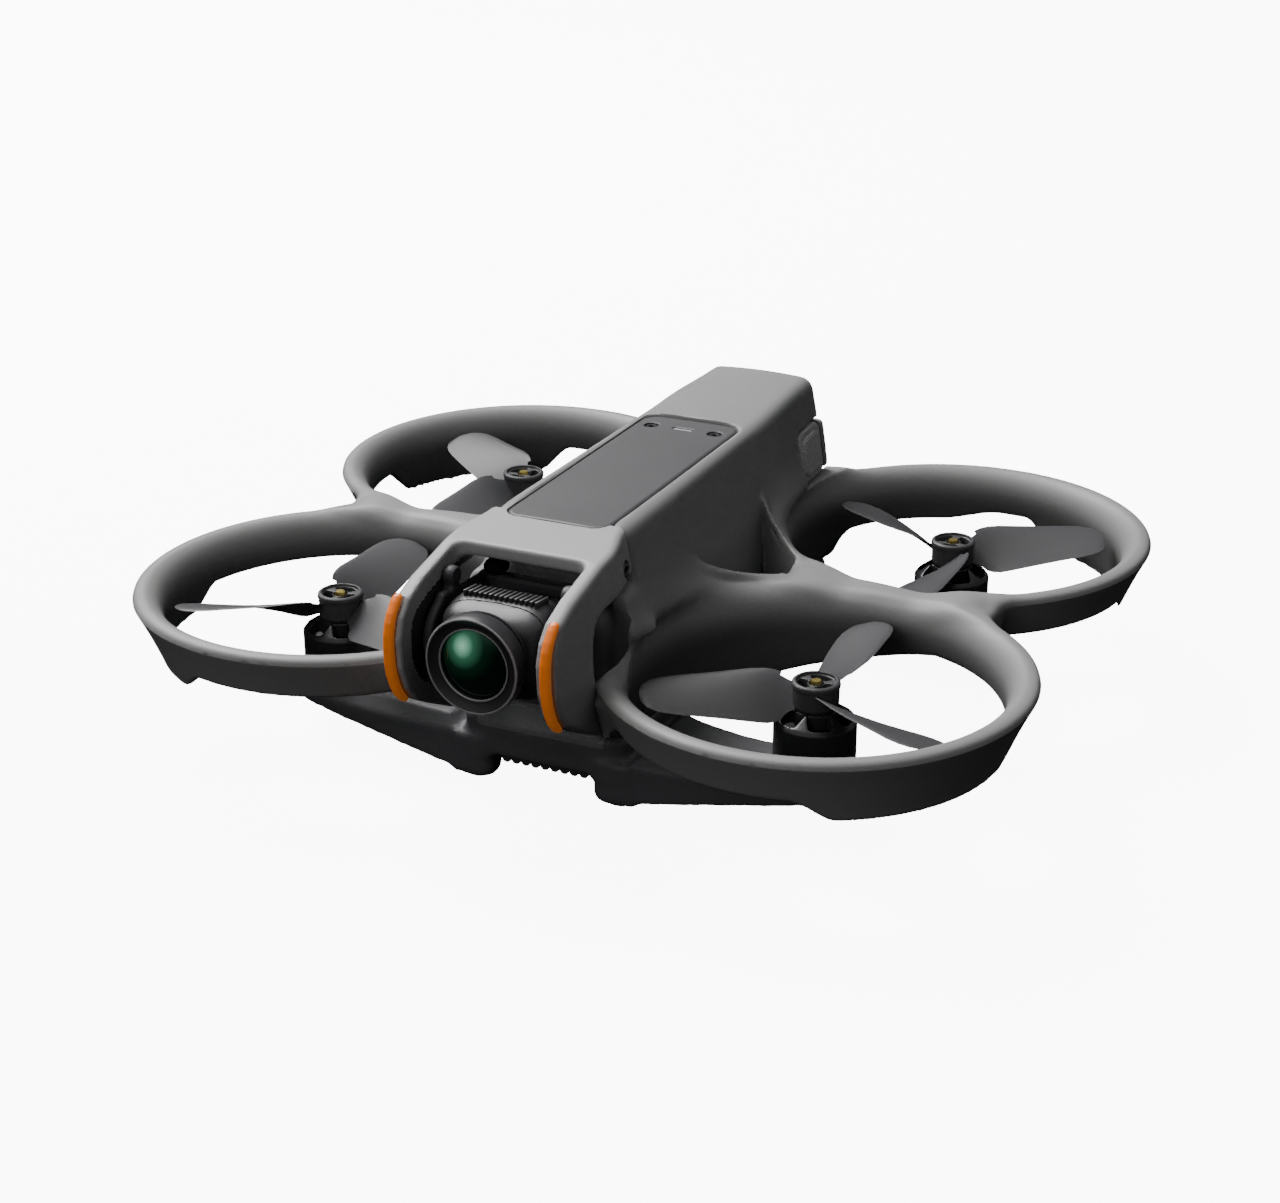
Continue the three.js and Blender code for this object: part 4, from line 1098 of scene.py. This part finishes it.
def socket_screw(name, radius, height, at, axis):
    """A screw head with a round socket."""
    return lathe(name, [
        (0, 0), (radius, 0), (radius, height * 0.6), (radius * 0.86, height), (radius * 0.55, height),
        (radius * 0.5, height * 0.92), (radius * 0.48, height * 0.35), (0, height * 0.3),
    ], MOTOR_BLACK, at, axis, 24, sharp=35)


for tag, outward, at_end in (("left", "-X", 1), ("right", "X", 0)):
    low, high = node_box("panel_screw_" + tag)
    screw = socket_screw(
        "panel_screw_head_" + tag, 1.45, high[2] - low[2] - 0.05, (*((low + high) / 2)[:2], low[2]), "Z")
    place(screw, "airframe", "steel", "panel_screw_" + tag)
    inner_x = node_box("bumper_screw_" + tag)[at_end][0]
    screw = socket_screw(
        "bumper_screw_head_" + tag, 1.5, 1.2, (inner_x, *middle("bumper_screw_" + tag)[1:]), outward)
    place(screw, "airframe", "steel", "bumper_screw_" + tag)


# ---- release buckles and battery
def buckle_shape(x, y, z):
    outline = buckle_outline(y, z, 0)
    off_hull = np.abs(x) - hull_half_width(y, z)
    shape = np.minimum(smax(outline + 1.5, off_hull - 0.3, 1.0), smax(outline, off_hull + 0.35, 0.6))
    return np.maximum(shape, 14.4 - np.abs(x))


buckle = solid_piece("buckle_face_right", buckle_shape, (14.4, 49, 39), (18.6, 65.2, 52.5), 0.25, GRIP, 35)
place(mirrored(buckle, "buckle_face_left"), "left_buckle", "panel_grey", "buckle_left")
place(buckle, "right_buckle", "panel_grey", "buckle_right")
BUTTON_AT = middle("power_button")
CAP_LOW, CAP_HIGH = node_box("battery_cap")
CASE_LOW, CASE_HIGH = node_box("battery_case")


def battery_cap_shape(x, y, z):
    """The battery's rear end: a rounded block with a flange that closes the hull's rear."""
    across = np.abs(x)
    roof = z - CAP_HIGH[2] + 0.0035 * x * x
    block = smax(smax(across - 12.7, roof, 3.5), CAP_LOW[2] - z, 2)
    block = smax(block, slab(y, CAP_LOW[1], CAP_HIGH[1] - 0.1), 0.6)
    in_bay = smax(across - np.minimum(bay_half_width(z), BAY_WIDEST) + 0.4, slab(z, 30, 57), 2)
    beside = smax(across - hull_half_width(y, z) + 0.15, slab(z, 39.6, 51.6), 1.2)
    flange = smax(smin(in_bay, beside, 0.5), slab(y, 64.6, 66.4), 0.4)
    shape = smin(block, flange, 0.4)
    well = np.maximum(np.hypot(x, z - BUTTON_AT[2]) - 3.6, 62.5 - y)
    shape = carve(shape, well, 0.35)
    lamp = smax(smax(across - 6.3, slab(z, 38.3, 40.3), 0.6), 66.1 - y, 0.1)
    shape = carve(shape, lamp, 0.1)
    groove = np.abs(np.maximum(across - 11.0, slab(z, 33.6, 54))) - 0.12
    return carve(shape, np.maximum(groove, 66.0 - y))


cap = solid_piece("battery_cap_body", battery_cap_shape, (-18, 57.8, 29.4), (18, 66.6, 57.7), 0.35, HULL_GREY)
place(cap, "battery", "shell_grey", "battery_cap")
place(lathe("power_button_body", [
    (0, -65.5), (2.9, -65.5), (3.15, -65.7), (3.15, -66.9), (2.95, -67.15), (2.5, -67.15), (2.3, -66.95),
    (0, -66.85),
], LENS_BODY, (0, 0, BUTTON_AT[2]), "-Y", 48), "button", "frame_black", "power_button")
lamps = []
for i in range(4):
    x = (i - 1.5) * 3.0
    lamps.append(slab_piece("lamp", rounded_outline((x - 1.1, x + 1.1), (38.75, 39.85), 0.45), 66.2, 66.95,
                            LIGHT_WINDOW, 0.1, 2, "Y"))
place(merge("charge_lamps", lamps), "battery", "window_black", "charge_lights")


def battery_case_shape(x, y, z):
    across = np.abs(x)
    outside = smax(smax(across - CASE_HIGH[0], z - CASE_HIGH[2] + 0.004 * x * x, 4), CASE_LOW[2] - z, 3)
    outside = smax(outside, slab(y, CASE_LOW[1], CASE_HIGH[1]), 1.2)
    shape = carve(outside, smax(smax(across - 10.8, slab(z, CASE_LOW[2] + 1.2, 54.2), 1), y - 56.3, 1))
    rail = smax(np.abs(z - 41) - 1.2, slab(y, 2, 50), 1.2)
    return carve(shape, np.maximum(rail, 11.4 - across), 0.3)


case = solid_piece("battery_case_body", battery_case_shape, CASE_LOW, CASE_HIGH, 0.5, PANEL_GREY)
place(case, "battery", "panel_grey", "battery_case")
cells = []
for x0, x1 in ((-10.3, -0.1), (0.1, 10.3)):
    for z0, z1 in ((31.3, 42.3), (42.6, 53.5)):
        cells.append(slab_piece("cell", rounded_outline((x0, x1), (z0, z1), 1.6), -2.9, 53.9, WRAP, 0.5, 3, "Y"))
place(merge("cell_pouches", cells), "battery", "battery_wrap", "cell_pack")
plug = [slab_piece("plug", rounded_outline((-7.9, 7.9), (34.1, 43.9), 1.2), -9.4, -6.5, LENS_BODY, 0.4, 3, "Y")]
for i in range(6):
    x = (i - 2.5) * 2.4
    plug.append(box_piece("blade", (x - 0.35, x + 0.35), (-9.58, -9.2), (35.6, 42.4), BRASS, 0.05, 1))
place(merge("battery_plug", plug), "battery", "frame_black", "battery_connector")


# ---- bracket that carries the camera
def bracket_shape(x, y, z):
    across = np.abs(x)
    up, ahead = z - PIVOT_Z, y - PIVOT_Y
    disc = np.hypot(ahead, up) - 8.3
    arm = outline_distance(y, z, [(-76, 51.1), (-66, 50.6), (-54.4, 49.9), (-54.4, 46.4), (-63, 45.6), (-68, 37)])
    cheek = smax(smin(disc, arm, 4), slab(across, 12.95, 15.1), 0.9)
    rim = np.abs(np.hypot(ahead, up) - 7.1) - 0.22
    cheek = carve(cheek, np.maximum(rim, 14.75 - across))
    cheek = carve(cheek, np.hypot(ahead, up) - np.where(x > 0, 6.6, 1.75))
    slot = outline_distance(y, z, [(-64, 48.9), (-60, 48.6), (-60, 47.4), (-64, 47.4)]) - 0.3
    cheek = carve(cheek, slot, 0.3)
    beam = smax(smax(across - 15.1, slab(z, 46.8, 49.9), 1.2), slab(y, -58.2, -54.5), 1.2)
    pocket = smax(smax(across - 7.6, slab(y, -57.3, -55.4), 0.8), 47.8 - z, 0.4)
    beam = carve(beam, pocket, 0.3)
    lug = smax(smax(slab(across, 12.75, 15.3), slab(y, -73.4, -70.2), 0.8), slab(z, 48, 54.6), 0.8)
    knob = np.sqrt((across - 14.0) ** 2 + (y + 71.6) ** 2 + ((z - 54.6) * 1.15) ** 2) - 2.3
    knob = np.maximum(knob, 12.75 - across)
    return smin(smin(cheek, beam, 1.0), smin(lug, knob, 0.6), 1.0)


place(solid_piece("camera_yoke", bracket_shape, (-15.5, -83.4, 34.5), (15.5, -54.3, 57), 0.35, FRAME_BLACK),
      "airframe", "frame_black", "camera_bracket")
for side, tag in SIDES:
    place(lathe("damper_ball_" + tag, [
        (0, 50.05), (2.0, 50.05), (2.45, 50.5), (2.8, 51.1), (2.85, 51.7), (2.5, 52.3), (1.8, 52.8), (1.7, 53.3),
        (1.9, 53.8), (2.55, 54.2), (2.85, 54.8), (2.75, 55.5), (2.3, 56.1), (2.0, 56.3), (0, 56.3),
    ], RUBBER, (side * 11.6, -56.2, 0), "Z", 40), "airframe", "rubber_black", "damper_" + tag)
place(lathe("tilt_motor_can", [
    (0, 12.85), (5.9, 12.85), (6.3, 13.2), (6.3, 14.7), (6.0, 15.1), (5.0, 15.1), (4.8, 14.85), (2.2, 14.85),
    (2.0, 15.1), (0, 15.1),
], MOTOR_BLACK, (0, PIVOT_Y, PIVOT_Z), "X", 64), "airframe", "motor_black", "tilt_motor")
place(lathe("tilt_pin", [
    (0, 12.6), (1.4, 12.6), (1.4, 14.9), (1.2, 15.15), (0.6, 15.15), (0.55, 14.8), (0, 14.8),
], STEEL, (0, PIVOT_Y, PIVOT_Z), "-X", 40), "camera", "steel", "tilt_shaft")


# ---- underside
def belly_shape(x, y, z):
    """The cover under the hull: cooling ribs in front, air slots behind."""
    edge = smax(np.abs(x) - 11.7, slab(y, -57.9, 29.9), 2)
    ribs = np.sqrt(np.maximum(1 - ((np.mod(x + 1.2, 2.4) - 1.2) / 1.22) ** 2, 0))
    length = 1 - ramp(y, -34, -30)
    under = 6.15 - 1.1 * ribs * length - 0.75 * (1 - length)
    shape = smax(edge, under - z, 0.15)
    shape = np.maximum(shape, z - 6.85)
    rows = np.abs(np.mod(y, 4.4) - 2.2) - 0.75
    row = smax(rows, smax(slab(y, -22, 22), slab(np.abs(x), 1.6, 9.4), 0.6), 0.6)
    return carve(shape, np.maximum(row, z - 6.2), 0.25)


place(solid_piece("belly_grille", belly_shape, *node_box("belly_cover"), 0.4, FRAME_BLACK),
      "airframe", "frame_black", "belly_cover")
eyes = [slab_piece("window", rounded_outline((-4.1, 4.1), (35.9, 42.1), 1.2), 6.1, 8.5, WINDOW, 0.25)]
for x in (-1.9, 1.9):
    eyes.append(lathe("eye", [(0, 6.02), (1.5, 6.05), (1.5, 6.2), (1.3, 6.35), (0, 6.35)], LENS_BODY, (x, 39, 0),
                      steps=32))
place(merge("range_finder", eyes), "airframe", "lens_glass", "distance_sensor")
for side, tag in SIDES:
    barrel = lathe("eye_barrel", [
        (0, -2.0), (3.4, -2.0), (3.45, -1.8), (3.45, 0.7), (3.2, 0.95), (2.75, 0.95), (2.6, 0.6), (2.5, 0.2),
        (0, 0.15),
    ], LENS_BODY, steps=48)
    glass = lathe("eye_glass", [
        (0, 0.2), (2.45, 0.2), (2.4, 0.45), (2.0, 0.72), (1.4, 0.92), (0.7, 1.05), (0, 1.1),
    ], WINDOW, steps=48)
    eye = merge("vision_eye_" + tag, [barrel, glass])
    at = Vector((side * VISION_EYE_AT[0], *VISION_EYE_AT[1:])) * MM
    eye.data.transform(Matrix.Translation(at) @ Matrix.Rotation(math.radians(-135), 4, "X"))
    place(eye, "airframe", "lens_glass", "vision_lens_" + tag)


# ---- boards
def board(name, x, y, z, parts):
    """A circuit board lying flat, with chips and small parts (x, y, width, depth, height) on top."""
    pieces = [slab_piece(name + "_sheet", rounded_outline(x, y, 1.5), z[0], z[1] - 0.25, BOARD, 0.08, 1)]
    for cx, cy, width, depth, height in parts:
        pieces.append(box_piece(name + "_part", (cx - width / 2, cx + width / 2), (cy - depth / 2, cy + depth / 2),
                                (z[1] - 0.3, z[1] - 0.25 + height), LENS_BODY, 0.08, 1))
    return merge(name, pieces)


flat_parts = [(x, y, 2.0, 1.2, 0.25) for x in (-13, 13) for y in (-38, -30, -22, -14)]
place(board("flight_computer", (-13.9, 13.9), (-44.9, -12.1), (24.1, 25.4), flat_parts),
      "airframe", "circuit_board", "flight_board")
power_parts = [(x, y, 5.2, 5.6, 0.25) for x in (-12, -4, 4, 12) for y in (-36, -20, -4)]
place(board("power_stage", (-16.4, 16.4), (-43.9, 7.9), (10.7, 12), power_parts),
      "airframe", "circuit_board", "power_board")
fins_up = [box_piece("sink_base", (-10.9, 10.9), (-41.9, -16.1), (25.8, 27.2), STEEL, 0.2, 2)]
for i in range(11):
    x = (i - 5) * 2.1
    fins_up.append(box_piece("sink_fin", (x - 0.4, x + 0.4), (-41.7, -16.3), (27.0, 30.9), STEEL, 0.12, 1))
place(merge("heat_sink_fins", fins_up), "airframe", "steel", "heat_sink")
sensor = [
    slab_piece("sensor_sheet", rounded_outline((-7.9, 7.9), (PIVOT_Z - 6.9, PIVOT_Z + 6.9), 1), -71.9, -70.9,
               BOARD, 0.1, 1, "Y"),
    slab_piece("sensor_chip", rounded_outline((-4.6, 4.6), (PIVOT_Z - 3.6, PIVOT_Z + 3.6), 0.3), -71.98, -71.8,
               WINDOW, 0.05, 1, "Y"),
]
place(merge("sensor_chip_board", sensor), "camera", "circuit_board", "sensor_board")
for side, tag in SIDES:
    strip_face = slab_piece("aerial_" + tag, rounded_outline((18.1, 43.9), (18.1, 27.9), 0.8), 14.25, 14.95, STEEL,
                            0.1, 1, "X", mirror=side < 0)
    place(strip_face, "airframe", "steel", "antenna_" + tag)


# ---- floor and light
def add_stage():
    """A pale floor that curves up into a dome of soft light."""
    made, tree, shader = material("studio_white")
    cloud = add_node(tree, "TexNoise", {"Scale": 4})
    pale = add_colour_mix(tree, cloud, (0.86, 0.86, 0.86, 1), (0.88, 0.88, 0.88, 1))
    set_inputs(tree, shader, {
        "Base Color": pale, "Roughness": 0.9, "Specular IOR Level": 0.0, "Emission Color": (1, 1, 1, 1),
        "Emission Strength": 9.0})
    rows = [(r, 0.0) for r in (0.0, 1.0, 2.0, 3.0)]
    rows += [(3 + 2 * math.sin(a), 2 - 2 * math.cos(a)) for a in (i * math.pi / 16 for i in range(1, 9))]
    rows += [(5.0, 3.5), (4.6, 4.6), (3.6, 5.5), (2.0, 6.0), (0.0, 6.2)]
    steps = 48
    turns = [2 * math.pi * i / steps for i in range(steps)]
    points = [(r * math.cos(a), r * math.sin(a), h + FLOOR_Z) for r, h in rows for a in turns]
    faces = [(k * steps + i, k * steps + (i + 1) % steps, (k + 1) * steps + (i + 1) % steps, (k + 1) * steps + i)
             for k in range(len(rows) - 1) for i in range(steps)]
    mesh = bpy.data.meshes.new("floor")
    mesh.from_pydata(points, [], faces)
    mesh.validate()
    mesh.polygons.foreach_set("use_smooth", np.ones(len(mesh.polygons), bool))
    mesh.materials.append(made)
    floor = link_object("floor", mesh)
    floor.visible_diffuse = False
    floor.visible_glossy = False


def add_light(name, at, size, power):
    data = bpy.data.lights.new(name, "AREA")
    data.shape = "RECTANGLE"
    data.size = data.size_y = size
    data.energy = power
    light = link_object(name, data)
    light.location = at
    light.rotation_euler = (Vector(LIT_POINT) - Vector(at)).to_track_quat("-Z", "Y").to_euler()
    return light


def add_world():
    """Soft light from above; almost none from below."""
    world = bpy.data.worlds.new("studio")
    world.use_nodes = True
    tree = world.node_tree
    at = add_node(tree, "TexCoord", {}, "Generated")
    height = add_node(tree, "SeparateXYZ", {"Vector": at}, "Z")
    level = add_math(tree, "MULTIPLY_ADD", height, 0.5, 0.5)
    sky = add_ramp(tree, level, ((0.5, (0.012,) * 3), (0.62, (0.05,) * 3), (1.0, (0.5,) * 3)))
    set_inputs(tree, tree.nodes["Background"], {"Color": sky, "Strength": 1.0})
    bpy.context.scene.world = world


FLOOR_Z = -0.0002
LIT_POINT = (0, 0, 0.03)
add_stage()
add_world()
add_light("overhead", (-0.85, 0.4, 1.25), 1.0, 46)
add_light("front_fill", (-0.3, -1.6, 0.9), 0.9, 6).visible_glossy = False
